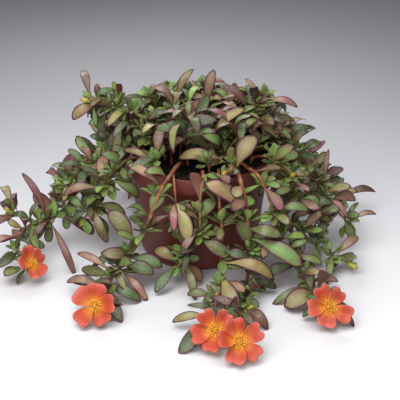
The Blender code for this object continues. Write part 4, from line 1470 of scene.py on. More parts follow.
    def _fountain(self, name: str, base: Vector, axis: Vector) -> None:
        """Long leaves that rise from a crown shoot's tip, arch over and turn their tips down."""
        rng = self.rng
        start = rng.uniform(0, 2 * math.pi)
        wide = self.CROWN_SPREADING
        for i in range(self.CROWN_LEAVES):
            spread = self.CROWN_SPREAD - self.CROWN_CLOSING * i + rng.uniform(-wide, wide)
            heading, rise = fanned(axis, start + GOLDEN_ANGLE * i, spread)
            length = rng.uniform(*CROWN_HABIT.lengths) * (1 - self.CROWN_SHORTER * i) * MM
            blade = Blade(
                base, heading, rise, rng.uniform(-self.CROWN_ROLL, self.CROWN_ROLL), length,
                length * rng.uniform(*self.CROWN_SLIMNESS), rng.uniform(*self.CROWN_ARCHES) * length,
                LEAF_THICK, rng.choices(LEAF_TONES, FOUNTAIN_WEIGHTS)[0], 0.0,
                curl=rng.uniform(*self.CROWN_CURLS),
                swerve=rng.uniform(-self.CROWN_SWERVE, self.CROWN_SWERVE),
            )
            self.offer(name, blade, self.CROWDED_NECK)

    def fill_back(self) -> None:
        """Hangs short leafy stems over the back of the rim, between the long ones."""
        rng = self.rng
        for i, (turn, name) in enumerate(self.BACK_HOSTS.items()):
            out = facing(turn, 0)
            ends = (*self.BACK_ROUTE, (self.BACK_END, rng.uniform(*self.BACK_LOW)))
            route = [tuple(out * reach + UP * height) for reach, height in ends]
            self.extra_stems[name].append((route, rng.uniform(*self.BACK_GIRTHS)))
            for k in range(self.BACK_NODES):
                self._node(name, route, self.BACK_FROM + self.BACK_STEP * k, i + k)
            base, axis = along(route, 1)
            axis = (axis + UP * self.BACK_UP + out * self.BACK_OUT).normalized()
            self.rosette(name, base, axis, self.BACK_COUNT)

    def dress_necks(self) -> None:
        """Sets dark leaves behind each bloom, at the end of the stem that carries it."""
        rng = self.rng
        for name, stems in SHOOTS.items():
            bloom = BLOOMS.get(stems[0].tip)
            if bloom is None:
                continue
            route = stem_route(stems[0])
            depth = RECEPTACLE_DEPTH + self.NECK_DEPTH
            base = Vector(bloom.centre) * MM - bloom.axis * depth * bloom.size
            for i in range(self.NECK_LEAVES):
                out = outward(bloom.axis, GOLDEN_ANGLE * i)
                heading, rise = heading_and_rise(bloom.axis * self.NECK_BACK + out)
                length = rng.uniform(*self.NECK_LENGTHS) * MM * bloom.size
                blade = Blade(
                    base, heading, rise, rng.uniform(-self.NECK_ROLL, self.NECK_ROLL), length,
                    length * self.NECK_SLIMNESS, self.NECK_ARCH * length, LEAF_THICK, Tone.DARK,
                )
                self.offer(name, blade, self.CROWDED_NECK)
            foot, _ = along(route, self.NECK_PLACE)
            self.rosette(name, foot, (bloom.axis + UP).normalized(), self.NECK_COUNT, self.NECK_SCALE)


def tip_tree(name: str) -> KDTree:
    """The corners of a CAD node, for finding the leaves that it has.

    Args:
        name: The node.

    Returns:
        A balanced tree of its corners.
    """
    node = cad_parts[name]
    tree = KDTree(len(node.data.vertices))
    for vertex in node.data.vertices:
        tree.insert(node.matrix_world @ vertex.co, vertex.index)
    tree.balance()
    return tree


@dataclass(frozen=True)
class Grain:
    """Cloudy noise: its scale, its detail and its roughness."""

    scale: float
    detail: float = 2.0
    roughness: float = 0.5


@dataclass(frozen=True)
class Band:
    """A soft step from one value to another, and how strong it is beyond it."""

    low: float
    high: float
    share: float = 1.0


Number = Union[float, "Field"]
Paint = Union[str, "Field"]


class Field:
    """A value or colour that varies over a surface. Operators on values add their Math nodes."""

    def __init__(self, shader: "Shader", socket: bpy.types.NodeSocket) -> None:
        """Wraps an output socket of a material's node."""
        self.shader = shader
        self.socket = socket

    def math(self, operation: str, *values: Number) -> "Field":
        """Adds one Math node.

        Args:
            operation: What the node works out.
            values: Its values or links, in order.

        Returns:
            Its result.
        """
        links = dict(enumerate(values))
        return self.shader.node("ShaderNodeMath", {"operation": operation}, links)

    def __add__(self, other: Number) -> "Field":
        """The sum."""
        return self.math("ADD", self, other)

    __radd__ = __add__

    def __mul__(self, other: Number) -> "Field":
        """The product."""
        return self.math("MULTIPLY", self, other)

    __rmul__ = __mul__

    def __sub__(self, other: Number) -> "Field":
        """The difference."""
        return self.math("SUBTRACT", self, other)

    def __rsub__(self, other: Number) -> "Field":
        """The difference from a number."""
        return self.math("SUBTRACT", other, self)

    def __abs__(self) -> "Field":
        """The size without its sign."""
        return self.math("ABSOLUTE", self)

    def high(self, other: Number) -> "Field":
        """The larger of the two."""
        return self.math("MAXIMUM", self, other)

    def wave(self) -> "Field":
        """A sine of the value, from 0 to 1."""
        return self.math("SINE", self) * 0.5 + 0.5

    def step(self, band: Band) -> "Field":
        """The soft step of a band."""
        step = self.smooth(band.low, band.high)
        return step if band.share == 1 else step * band.share

    def smooth(self, low: float, high: float) -> "Field":
        """A soft step from 0 to 1 between two values.

        Args:
            low: Where it starts.
            high: Where it is complete.

        Returns:
            The step. A low value above the high one turns it round.
        """
        settings = {"interpolation_type": "SMOOTHSTEP"}
        if low > high:
            return 1 - self.smooth(high, low)
        links = {"Value": self, "From Min": low, "From Max": high}
        return self.shader.node("ShaderNodeMapRange", settings, links)


def linear(hex_colour: str) -> tuple[float, float, float, float]:
    """A colour written as on a screen, in linear light.

    Args:
        hex_colour: Six hex digits after a hash sign.

    Returns:
        Red, green, blue and full alpha.
    """
    screen = [int(hex_colour[i:i + 2], 16) / 255 for i in (1, 3, 5)]
    light = [c / 12.92 if c <= 0.04045 else ((c + 0.055) / 1.055) ** 2.4 for c in screen]
    return (*light, 1.0)


class Shader:
    """A material in the making, with one Principled shader."""

    def __init__(self, name: str, **constants: float) -> None:
        """Makes the material.

        Args:
            name: Its name.
            constants: Values for the shader's own sockets.
        """
        self.material = bpy.data.materials.new(name)
        self.material.use_nodes = True
        self.tree = self.material.node_tree
        self.principled = next(n for n in self.tree.nodes if n.type == "BSDF_PRINCIPLED")
        for name, value in constants.items():
            self._socket(name).default_value = value

    def _socket(self, name: str) -> bpy.types.NodeSocket:
        """The Principled shader's input of a name in small letters, with _ for a space."""
        return next(s for s in self.principled.inputs if s.name.lower() == name.replace("_", " "))

    def node(self, kind: str, settings: dict, links: dict, result: Union[int, str] = 0) -> Field:
        """Adds a node.

        Args:
            kind: Its type.
            settings: Its own settings, which are set first.
            links: A value, a colour in hex or a field for each socket, by name or place.
            result: The name or place of the output that is wanted.

        Returns:
            That output.
        """
        node = self.tree.nodes.new(kind)
        for name, value in settings.items():
            setattr(node, name, value)
        for key, value in links.items():
            found = [s for s in node.inputs if key in (s.identifier, s.name)]
            socket = node.inputs[key] if isinstance(key, int) else found[0]
            if isinstance(value, Field):
                self.tree.links.new(value.socket, socket)
            else:
                socket.default_value = linear(value) if isinstance(value, str) else value
        outputs = {s.identifier: s for s in node.outputs}
        return Field(self, node.outputs[result] if isinstance(result, int) else outputs[result])

    def place(self) -> Field:
        """The point's place in the object."""
        return self.node("ShaderNodeTexCoord", {}, {}, "Object")

    def attribute(self, name: str, kind: str = "Vector") -> Field:
        """An attribute of the mesh, as Vector, Color or Fac."""
        return self.node("ShaderNodeAttribute", {"attribute_name": name}, {}, kind)

    def parts(self, name: str) -> tuple[Field, Field, Field]:
        """The three parts of a vector attribute."""
        split = self.node("ShaderNodeSeparateXYZ", {}, {"Vector": self.attribute(name)})
        return tuple(Field(self, socket) for socket in split.socket.node.outputs)

    def grain(self, grain: Grain) -> Field:
        """Cloudy noise in the object, centred on 0.5."""
        links = {"Vector": self.place(), "Scale": grain.scale}
        links |= {"Detail": grain.detail, "Roughness": grain.roughness}
        return self.node("ShaderNodeTexNoise", {}, links)

    def cells(self, scale: float) -> Field:
        """The distance to the nearest of many scattered points."""
        return self.node("ShaderNodeTexVoronoi", {}, {"Vector": self.place(), "Scale": scale})

    def mix(self, factor: Number, first: Paint, second: Paint) -> Field:
        """Mixes two colours.

        Args:
            factor: How much of the second one.
            first: The first colour.
            second: The second colour.

        Returns:
            The mixed colour.
        """
        settings = {"data_type": "RGBA", "blend_type": "MIX"}
        links = {"Factor_Float": factor, "A_Color": first, "B_Color": second}
        return self.node("ShaderNodeMix", settings, links, "Result_Color")

    def bump(self, height: Field, depth: float, strength: float = 1.0) -> Field:
        """Fine relief.

        Args:
            height: The relief, from 0 to 1.
            depth: How deep it is, in metres.
            strength: Its strength.

        Returns:
            The normal.
        """
        links = {"Height": height, "Distance": depth, "Strength": strength}
        return self.node("ShaderNodeBump", {}, links)

    def finish(self, **fields: Field) -> bpy.types.Material:
        """Feeds the shader.

        Args:
            fields: A field for each socket.

        Returns:
            The finished material.
        """
        for name, value in fields.items():
            self.tree.links.new(value.socket, self._socket(name))
        return self.material


# In each finish, a roughness gives how much its grain adds, then the base, and for the pot what its
# dust adds. A relief gives its depth in metres and its strength. A pair named after a cloud or its
# streaks gives how much they add and what is taken off again, and the pair for the petals' painted
# rim highlight gives a factor and a base.


@dataclass(frozen=True)
class PotPlastic:
    """Terracotta-brown moulded plastic, a little dusty, with faint rings left by its mould."""

    colour: str = "#6E3128"
    worn: str = "#8C4A3C"
    dust: str = "#A58670"
    clouds: Grain = Grain(18, 4)
    wear: Band = Band(0.4, 0.72, 0.4)
    specks: Grain = Grain(420, 3, 0.7)
    speck: Band = Band(0.66, 0.82)
    patches: Grain = Grain(30)
    patch: Band = Band(0.42, 0.65)
    dusting: float = 0.3
    ring_spacing: float = 2600
    ring_relief: float = 0.35
    fine: Grain = Grain(900, 2)
    fine_relief: float = 0.65
    haze: Grain = Grain(60, 3)
    roughness: tuple[float, float, float] = (0.22, 0.31, 0.2)
    relief: tuple[float, float] = (0.0001, 0.5)

    def material(self) -> bpy.types.Material:
        """The finished plastic."""
        shader = Shader("pot_plastic", specular_ior_level=0.4)
        colour = shader.mix(shader.grain(self.clouds).step(self.wear), self.colour, self.worn)
        specks = shader.grain(self.specks).step(self.speck) * shader.grain(self.patches).step(self.patch)
        colour = shader.mix(specks * self.dusting, colour, self.dust)
        height = shader.node("ShaderNodeSeparateXYZ", {}, {"Vector": shader.place()}, "Z")
        rings = (height * self.ring_spacing).wave()
        relief = rings * self.ring_relief + shader.grain(self.fine) * self.fine_relief
        haze, base, dull = self.roughness
        rough = shader.grain(self.haze) * haze + base + specks * dull
        normal = shader.bump(relief, *self.relief)
        return shader.finish(base_color=colour, roughness=rough, normal=normal)


@dataclass(frozen=True)
class Peat:
    """Moist black potting mix with brown fibres and pale grains."""

    wet: str = "#120D0A"
    dry: str = "#35261C"
    fibre: str = "#5A4330"
    grain: str = "#8E8474"
    clouds: Grain = Grain(160, 5, 0.7)
    drying: Band = Band(0.42, 0.7)
    fibres: Grain = Grain(620, 3, 0.7)
    fibrous: Band = Band(0.6, 0.75, 0.7)
    grain_spacing: float = 330
    grains: Band = Band(0.16, 0.08, 0.5)
    lumps: Grain = Grain(240, 5, 0.7)
    lump_relief: float = 0.7
    clod_spacing: float = 420
    clod_relief: float = 0.5
    haze: Grain = Grain(90, 2)
    roughness: tuple[float, float] = (0.25, 0.7)
    relief: tuple[float, float] = (0.0016, 0.9)

    def material(self) -> bpy.types.Material:
        """The finished mix."""
        shader = Shader("peat", specular_ior_level=0.25)
        colour = shader.mix(shader.grain(self.clouds).step(self.drying), self.wet, self.dry)
        colour = shader.mix(shader.grain(self.fibres).step(self.fibrous), colour, self.fibre)
        colour = shader.mix(shader.cells(self.grain_spacing).step(self.grains), colour, self.grain)
        lumps, clods = shader.grain(self.lumps), shader.cells(self.clod_spacing)
        relief = lumps * self.lump_relief + clods * self.clod_relief
        haze, base = self.roughness
        rough = shader.grain(self.haze) * haze + base
        normal = shader.bump(relief, *self.relief)
        return shader.finish(base_color=colour, roughness=rough, normal=normal)


@dataclass(frozen=True)
class LeafSkin:
    """Waxy leaf skin: speckled, flushed with maroon at the margins and purple underneath."""

    margin: str = "#4E1F2B"
    young_edge: str = "#B9CF96"
    speckle: str = "#C3C79A"
    vein: str = "#D6D3A6"
    shade: str = "#2E3A22"
    clouds: Grain = Grain(95, 3, 0.6)
    shading: Band = Band(0.45, 0.75, 0.35)
    flush_chance: float = 0.25
    flush: Band = Band(0.5, 0.86)
    flush_share: float = 0.8
    specks: Grain = Grain(900, 2, 0.6)
    speck: Band = Band(0.56, 0.7)
    speck_youth: float = 0.6
    speck_share: float = 0.4
    rib: Band = Band(0.0, 0.16)
    rib_end: Band = Band(0.35, 0.9)
    rib_face: Band = Band(0, 0.3)
    rib_share: float = 0.14
    inward_cloud: tuple[float, float] = (0.3, 0.15)
    inward: Band = Band(0.2, 0.9)
    inward_blush: Band = Band(0.1, 0.9)
    inward_youth: float = 0.8
    inward_share: float = 0.6
    tip: Band = Band(0.88, 1.0, 0.9)
    edge: Band = Band(0.66, 0.9)
    young_share: float = 0.5
    edge_blush: Band = Band(0.05, 0.35)
    edge_youth: float = 0.75
    back: Band = Band(0.15, -0.35)
    back_youth: float = 0.7
    roughness: tuple[float, float] = (0.16, 0.4)
    pores: Grain = Grain(700, 2, 0.6)
    pore_relief: float = 0.6
    rib_relief: float = 0.4
    relief: tuple[float, float] = (0.00022, 0.6)

    def material(self) -> bpy.types.Material:
        """The finished skin, which reads each leaf's own colours."""
        shader = Shader("leaf_skin", specular_ior_level=0.6)
        place, side, face = shader.parts("leaf")
        blush, youth, chance = shader.parts("mood")
        upper, under = shader.attribute("skin", "Color"), shader.attribute("under", "Color")
        cloud = shader.grain(self.clouds)
        colour = shader.mix(cloud.step(self.shading), upper, self.shade)
        flush = (cloud + chance * self.flush_chance).step(self.flush) * blush * self.flush_share
        colour = shader.mix(flush, colour, under)
        fine = shader.grain(self.specks).step(self.speck) * (1 - youth * self.speck_youth)
        colour = shader.mix(fine * self.speck_share, colour, self.speckle)
        rib = (1 - abs(side).step(self.rib)) * (1 - place.step(self.rib_end))
        colour = shader.mix(rib * face.step(self.rib_face) * self.rib_share, colour, self.vein)
        spots, start = self.inward_cloud
        inward = (abs(side) + cloud * spots - start).step(self.inward) * blush.step(self.inward_blush)
        inward = inward * (1 - youth * self.inward_youth) * self.inward_share
        colour = shader.mix(inward, colour, under)
        edge = (abs(side) + place.step(self.tip)).step(self.edge)
        colour = shader.mix(edge * youth * self.young_share, colour, self.young_edge)
        margin = edge * blush.step(self.edge_blush) * (1 - youth * self.edge_youth)
        colour = shader.mix(margin, colour, self.margin)
        colour = shader.mix(face.step(self.back) * (1 - youth * self.back_youth), colour, under)
        haze, base = self.roughness
        relief = shader.grain(self.pores) * self.pore_relief + rib * self.rib_relief
        normal = shader.bump(relief, *self.relief)
        return shader.finish(base_color=colour, roughness=cloud * haze + base, normal=normal)


@dataclass(frozen=True)
class StemSkin:
    """Smooth succulent stem skin, from salmon red to tan, yellow at its joints."""

    red: str = "#82402F"
    salmon: str = "#A6705C"
    tan: str = "#9A7C56"
    joint: str = "#C08A40"
    clouds: Grain = Grain(130, 4, 0.6)
    paling: Band = Band(0.35, 0.7)
    young_chance: float = 0.5
    young: Band = Band(0.55, 1.25, 0.75)
    joint_cloud: Band = Band(0.3, 0.6)
    joint_share: float = 0.75
    lines: Grain = Grain(1100, 3, 0.7)
    line: Band = Band(0.62, 0.8, 0.35)
    roughness: tuple[float, float] = (0.2, 0.28)
    relief: tuple[float, float] = (0.0002, 0.5)

    def material(self) -> bpy.types.Material:
        """The finished skin."""
        shader = Shader("stem_skin", specular_ior_level=0.5, subsurface_weight=0.05)
        share, joint, chance = shader.parts("stem")
        cloud = shader.grain(self.clouds)
        colour = shader.mix(cloud.step(self.paling), self.red, self.salmon)
        young = (share + chance * self.young_chance).step(self.young)
        colour = shader.mix(young, colour, self.tan)
        joint = joint * cloud.step(self.joint_cloud) * self.joint_share
        colour = shader.mix(joint, colour, self.joint)
        lines = shader.grain(self.lines)
        colour = shader.mix(lines.step(self.line), colour, self.tan)
        haze, base = self.roughness
        normal = shader.bump(lines, *self.relief)
        return shader.finish(base_color=colour, roughness=cloud * haze + base, normal=normal)


@dataclass(frozen=True)
class BudSkin:
    """Bud skin: yellow-green with a flushed red tip and streaks that run to it."""

    green: str = "#8FA63A"
    yellow: str = "#C6C552"
    red: str = "#B4472F"
    bract: str = "#6F8A3C"
    streaks: Grain = Grain(500, 3, 0.6)
    yellowing: Band = Band(0.05, 0.6)
    tip_streaks: tuple[float, float] = (0.4, 0.2)
    tip: Band = Band(0.62, 0.98, 0.9)
    ridge_share: float = 0.4
    bract_share: float = 0.85
    roughness: tuple[float, float] = (0.2, 0.3)
    relief: tuple[float, float] = (0.0002, 0.5)

    def material(self) -> bpy.types.Material:
        """The finished skin."""
        shader = Shader("bud_skin", specular_ior_level=0.45)
        height, ridge, bract = shader.parts("bud")
        streak = shader.grain(self.streaks)
        colour = shader.mix(height.step(self.yellowing), self.green, self.yellow)
        spots, start = self.tip_streaks
        colour = shader.mix((height + streak * spots - start).step(self.tip), colour, self.red)
        colour = shader.mix(ridge * self.ridge_share, colour, self.green)
        scales = shader.mix(streak, self.bract, self.red)
        colour = shader.mix(bract * self.bract_share, colour, scales)
        haze, base = self.roughness
        normal = shader.bump(streak, *self.relief)
        return shader.finish(base_color=colour, roughness=streak * haze + base, normal=normal)


@dataclass(frozen=True)
class PetalSilk:
    """Petal tissue: coral red with fine veins, orange at the throat and a pink painted highlight at its
    rim.
    """

    coral: str = "#CA4830"
    deep: str = "#B0301C"
    # The pink of the painted highlight on the petals' rims, also used for each petal's random pale tint
    rim: str = "#E47C70"
    throat: str = "#F0962A"
    clouds: Grain = Grain(140, 3, 0.6)
    deepening: Band = Band(0.4, 0.75, 0.5)
    vein_spacing: float = 30
    vein_bend: float = 3
    vein: Band = Band(0.55, 0.95)
    vein_from: Band = Band(0.1, 0.35)
    vein_share: float = 0.35
    # The bands and the shares of the painted highlight on the petals' rims and flanks
    edge: Band = Band(0.72, 1.0)
    flank_highlight: Band = Band(0.74, 1.0, 0.8)
    rim_highlight_share: tuple[float, float] = (0.4, 0.35)
    pale: Band = Band(0.3, 1.0)
    pale_share: float = 0.35
    throat_cloud: tuple[float, float] = (0.2, 0.1)
    inner: Band = Band(0.66, 0.16)
    roughness: tuple[float, float] = (0.2, 0.4)
    fine: Grain = Grain(800, 2)
    fine_relief: float = 0.4
    vein_relief: float = 0.6
    relief: tuple[float, float] = (0.0003, 0.7)

    def material(self) -> bpy.types.Material:
        """The finished tissue."""
        shader = Shader("petal_silk", specular_ior_level=0.3, subsurface_weight=0.08)
        reach, side, chance = shader.parts("petal")
        cloud = shader.grain(self.clouds)
        colour = shader.mix(cloud.step(self.deepening), self.coral, self.deep)
        waves = (side * self.vein_spacing + cloud * self.vein_bend).wave()
        veins = waves.step(self.vein) * reach.step(self.vein_from)
        colour = shader.mix(veins * self.vein_share, colour, self.deep)
        # Painted highlight: the rim and the flanks of each petal are mixed toward pink
        edge = reach.step(self.edge).high(abs(side).step(self.flank_highlight))
        more, least = self.rim_highlight_share
        colour = shader.mix(edge * (chance * more + least), colour, self.rim)
        colour = shader.mix(chance.step(self.pale) * reach * self.pale_share, colour, self.rim)
        spots, start = self.throat_cloud
        colour = shader.mix((reach + cloud * spots - start).step(self.inner), colour, self.throat)
        haze, base = self.roughness
        relief = waves * self.vein_relief + shader.grain(self.fine) * self.fine_relief
        normal = shader.bump(relief, *self.relief)
        return shader.finish(base_color=colour, roughness=cloud * haze + base, normal=normal)


@dataclass(frozen=True)
class StamenGold:
    """Stamens: orange threads that carry golden, powdery heads."""

    thread: str = "#E8742A"
    gold: str = "#F0B93C"
    powder: str = "#FFE07A"
    grains: Grain = Grain(1500, 2, 0.6)
    gilding: Band = Band(0.1, 0.9)
    dusting: Band = Band(0.35, 0.65)
    roughness: tuple[float, float] = (0.3, 0.45)
    relief: tuple[float, float] = (0.0002, 0.7)

    def material(self) -> bpy.types.Material:
        """The finished gold."""
        shader = Shader("stamen_gold", specular_ior_level=0.3)
        height, head, _ = shader.parts("stamen")
        powder = shader.grain(self.grains)
        colour = shader.mix(height.step(self.gilding), self.thread, self.gold)
        colour = shader.mix(head * powder.step(self.dusting), colour, self.powder)
        haze, base = self.roughness
        normal = shader.bump(powder, *self.relief)
        return shader.finish(base_color=colour, roughness=powder * haze + base, normal=normal)


@dataclass(frozen=True)
class Backdrop:
    """Matt studio paper, faintly grained, with painted shade that grades it a little darker far behind the
    plant.
    """

    paper: str = "#F0F0F2"
    grain: str = "#E4E4E8"
    # The grey of the painted shade far behind the plant, where less light falls
    far: str = "#C3C3C9"
    fibres: Grain = Grain(300, 3, 0.6)
    fibre_share: float = 0.5
    painted_falloff_shade: Band = Band(-0.22, 0.32)
    roughness: tuple[float, float] = (0.1, 0.8)

    def material(self) -> bpy.types.Material:
        """The finished paper."""
        shader = Shader("studio_paper", specular_ior_level=0.2)
        fibre = shader.grain(self.fibres)
        colour = shader.mix(fibre * self.fibre_share, self.paper, self.grain)
        depth = shader.node("ShaderNodeSeparateXYZ", {}, {"Vector": shader.place()}, "Y")
        # Painted shade: the paper is mixed toward grey the further it lies behind the plant
        colour = shader.mix(depth.step(self.painted_falloff_shade), colour, self.far)
        haze, base = self.roughness
        return shader.finish(base_color=colour, roughness=fibre * haze + base)


def dress(piece: bpy.types.Object, slot: str, finish: bpy.types.Material, *nodes: str) -> None:
    """Gives a piece its finish and its body, and hides the CAD nodes that it stands for.

    Args:
        piece: The finished piece.
        slot: Not used.
        finish: Its material.
        nodes: The CAD nodes that it replaces.
    """
    piece.data.materials.clear()
    piece.data.materials.append(finish)
    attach(piece, "root")
    if nodes:
        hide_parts(*nodes)
    log.info("%s: %d faces", piece.name, len(piece.data.polygons))


@dataclass(frozen=True)
class Palette:
    """The colours of one kind of leaf: its upper side, its under side and how flushed it is."""

    upper: str
    under: str
    blush: float


PALETTES: dict[Tone, Palette] = {
    Tone.GREEN: Palette("#769A4C", "#8C5C50", 0.6),
    Tone.OLIVE: Palette("#949454", "#966052", 0.75),
    Tone.TAN: Palette("#B2A468", "#A87260", 0.75),
    Tone.PINK: Palette("#A08460", "#9C5864", 0.9),
    Tone.DARK: Palette("#527039", "#5A3E3E", 0.5),
    Tone.BRIGHT: Palette("#8CB050", "#9A9C5E", 0.25),
    Tone.MAROON: Palette("#7A5844", "#783E4A", 0.95),
}


class Foliage:
    """Leaves of one shoot, gathered into one mesh with each leaf's own colours on its points."""

    LARGE_FROM = 21 * MM
    DIMMEST = 0.55
    BRIGHTEST = 1.06
    WARMTH = 0.08
    BLUSHES = (0.6, 1.3)

    def __init__(self, forms: dict[str, LeafForm], seed: int) -> None:
        """Takes the forms that leaves are bent from, and a seed for their colours."""
        self.forms = forms
        self.rng = random.Random(seed)
        self.bundle = Bundle()

    def add(self, blade: Blade) -> None:
        """Bends a leaf onto a blade and keeps it."""
        rng = self.rng
        kind = "young" if blade.young else "large" if blade.length > self.LARGE_FROM else "small"
        form = self.forms[kind]
        palette = PALETTES[blade.tone]
        tint = self.DIMMEST + (self.BRIGHTEST - self.DIMMEST) * rng.random()
        warm = 1 + rng.uniform(-self.WARMTH, self.WARMTH)
        shift = np.array([tint * warm, tint, tint / warm, 1])
        blush = palette.blush * rng.uniform(*self.BLUSHES)
        self.bundle.gather(
            form.bend(blade), form.faces,
            leaf=np.column_stack([form.place, form.side, form.face]),
            mood=np.array([blush, blade.youth, rng.random()]),
            skin=np.array(linear(palette.upper)) * shift,
            under=np.array(linear(palette.under)) * shift,
        )


@dataclass
class StemWood:
    """A shoot's stems as smooth tubes that thicken at their joints."""

    sample: float = 1.6 * MM
    joint_spacing: float = 9.0 * MM
    joint_swell: float = 0.16
    joint_reach: float = 1.3 * MM
    sides: int = 10
    wander: float = 0.5 * MM
    wander_scale: float = 60
    joint_phase: float = 0.4

    def build(self, name: str, stems: list[tuple[list, float]]) -> bpy.types.Object:
        """Builds the stems of a shoot and joins them.

        Args:
            name: The piece's name.
            stems: Each stem's route and its diameter at the root, in millimetres.

        Returns:
            The piece.
        """
        pieces = [self._tube(f"{name}_{i}", route, thick) for i, (route, thick) in enumerate(stems)]
        choose(*pieces)
        if len(pieces) > 1:
            bpy.ops.object.join()
        piece = bpy.context.object
        piece.name = piece.data.name = name
        return piece

    def _line(self, route: list) -> np.ndarray:
        """A smooth line through the route's points, with evenly spaced samples."""
        knots = np.array([Vector(point) * MM for point in route])
        before = 2 * knots[0] - knots[1]
        after = 2 * knots[-1] - knots[-2]
        padded = np.vstack([before, knots, after])
        samples = [knots[0]]
        for a, b, c, d in zip(padded, padded[1:], padded[2:], padded[3:]):
            steps = max(2, int(np.linalg.norm(c - b) / self.sample))
            for t in np.linspace(0, 1, steps + 1)[1:]:
                bend = 2 * b + (c - a) * t + (2 * a - 5 * b + 4 * c - d) * t**2
                samples.append((bend + (3 * b - a - 3 * c + d) * t**3) / 2)
        return np.array(samples)

    def _tube(self, name: str, route: list, thick: float) -> bpy.types.Object:
        """One stem, as a bevelled curve made a mesh, with its share, joints and chance painted on."""
        line = self._line(route)
        steps = np.linalg.norm(np.diff(line, axis=0), axis=1)
        reach = np.concatenate([[0], np.cumsum(steps)])
        share = reach / reach[-1]
        phase = (reach + self.joint_spacing * self.joint_phase) / self.joint_spacing
        gap = np.abs(phase - np.round(phase)) * self.joint_spacing
        joint = np.exp(-((gap / self.joint_reach) ** 2))
        radius = thick / 2 * MM * (1 - STEM_TAPER * share) * (1 + self.joint_swell * joint)
        curve = bpy.data.curves.new(name, "CURVE")
        curve.dimensions = "3D"
        curve.bevel_depth = 1
        curve.bevel_resolution = self.sides // 2 - 2
        curve.use_fill_caps = True
        spline = curve.splines.new("POLY")
        spline.points.add(len(line) - 1)
        chance = noise.random()
        for point, place, size in zip(spline.points, line, radius):
            drift = noise.noise_vector(Vector(place) * self.wander_scale) * self.wander
            point.co = (*(Vector(place) + drift), 1)
            point.radius = size
        tube = bpy.data.objects.new(name, curve)
        bpy.context.collection.objects.link(tube)
        choose(tube)
        bpy.ops.object.convert(target="MESH")
        tube = bpy.context.object
        bpy.ops.object.shade_smooth()
        self._paint(tube, line, np.column_stack([share, joint, np.full(len(share), chance)]))
        return tube

    def _paint(self, tube: bpy.types.Object, line: np.ndarray, rows: np.ndarray) -> None:
        """Gives each point of a tube the values of the nearest sample of its line."""
        tree = KDTree(len(line))
        for i, place in enumerate(line):
            tree.insert(place, i)
        tree.balance()
        nearest = [tree.find(vertex.co)[1] for vertex in tube.data.vertices]
        paint_points(tube, "stem", rows[nearest])


@dataclass
class BudForm:
    """A closed bud: two folded sepals that meet in a ridge, with small bracts at its foot."""

    around: int = 12
    rings: int = 12
    ridge: float = 0.1
    ridge_from: float = 0.85
    narrowing: float = 0.45
    narrow_power: float = 2.5
    bracts: int = 4
    bract_length: float = 6.5 * MM
    bract_width: float = 3.0 * MM
    bract_thick: float = 0.7 * MM
    bract_arch: float = -0.12
    bract_spread: float = 0.5
    bract_shorter: float = 0.08
    bract_out: float = 0.6
    bract_back: float = 0.5

    def build(
        self, name: str, tips: list[tuple[Vector, Vector, float]], bract_form: LeafForm
    ) -> bpy.types.Object:
        """Builds all the buds of a shoot as one piece.

        Args:
            name: The piece's name.
            tips: The foot, the direction and the size of each bud.
            bract_form: The form that the bracts are bent from.

        Returns:
            The piece.
        """
        ball, faces = unit_ball(self.around, self.rings)
        height = (ball[:, 2] + 1) / 2
        fold = 1 + self.ridge * np.cos(2 * np.arctan2(ball[:, 1], ball[:, 0]))
        narrow = (1 - self.narrowing * height**self.narrow_power) * fold
        shape = np.column_stack([
            ball[:, 0] * BUD_RADIUS * narrow, ball[:, 1] * BUD_RADIUS * narrow / fold,
            ball[:, 2] * BUD_HALF_LENGTH,
        ])
        rows = np.column_stack([height, np.abs(ball[:, 0]) > self.ridge_from, np.zeros(len(ball))])
        place = bract_form.place
        bract_rows = np.column_stack([place, np.zeros(len(place)), np.ones(len(place))])
        bundle = Bundle()
        for tip, axis, scale in tips:
            turned = np.array(axis.to_track_quat("Z", "Y").to_matrix())
            centre = np.array(tip + axis * BUD_SEAT * scale)
            bundle.gather(shape * scale @ turned.T + centre, faces, bud=rows)
            for blade in self._bracts(tip, axis, scale):
                bundle.gather(bract_form.bend(blade), bract_form.faces, bud=bract_rows)
        return bundle.piece(name)

    def _bracts(self, tip: Vector, axis: Vector, scale: float) -> Iterator[Blade]:
        """Small scale leaves that hug the foot of a bud."""
        for i in range(self.bracts):
            out = outward(axis, GOLDEN_ANGLE * i)
            heading, rise = heading_and_rise(axis + out * self.bract_spread)
            length = self.bract_length * (1 - self.bract_shorter * i) * scale
            base = tip + out * self.bract_out * MM - axis * self.bract_back * MM
            width, arch = self.bract_width * scale, self.bract_arch * length
            yield Blade(base, heading, rise, 0, length, width, arch, self.bract_thick)


class Shoot:
    """One leafy shoot: its stems, leaves and buds, in place of its CAD node."""

    def __init__(self, name: str, growth: Growth, wood: StemWood, buds: BudForm) -> None:
        """Takes the shoot's own leaves from the plant's growth."""
        self.name = name
        self.growth = growth
        self.wood = wood
        self.buds = buds

    def build(self, forms: dict[str, LeafForm], finishes: dict[str, bpy.types.Material]) -> None:
        """Builds and dresses the shoot's pieces.

        Args:
            forms: The forms of its leaves by kind.
            finishes: The finishes by slot.
        """
        stems = [(stem_route(stem), stem.thick) for stem in SHOOTS[self.name]]
        stems += self.growth.extra_stems[self.name]
        dress(self.wood.build(f"{self.name}_stems", stems), "stem", finishes["stem"], self.name)
        foliage = Foliage(forms, SEED + list(SHOOTS).index(self.name))
        for blade in self.growth.blades[self.name]:
            foliage.add(blade)
        dress(foliage.bundle.piece(f"{self.name}_leaves"), "foliage", finishes["foliage"], self.name)
        tips = self.growth.buds[self.name]
        if tips:
            buds = self.buds.build(f"{self.name}_buds", tips, forms["small"])
            dress(buds, "bud", finishes["bud"], self.name)


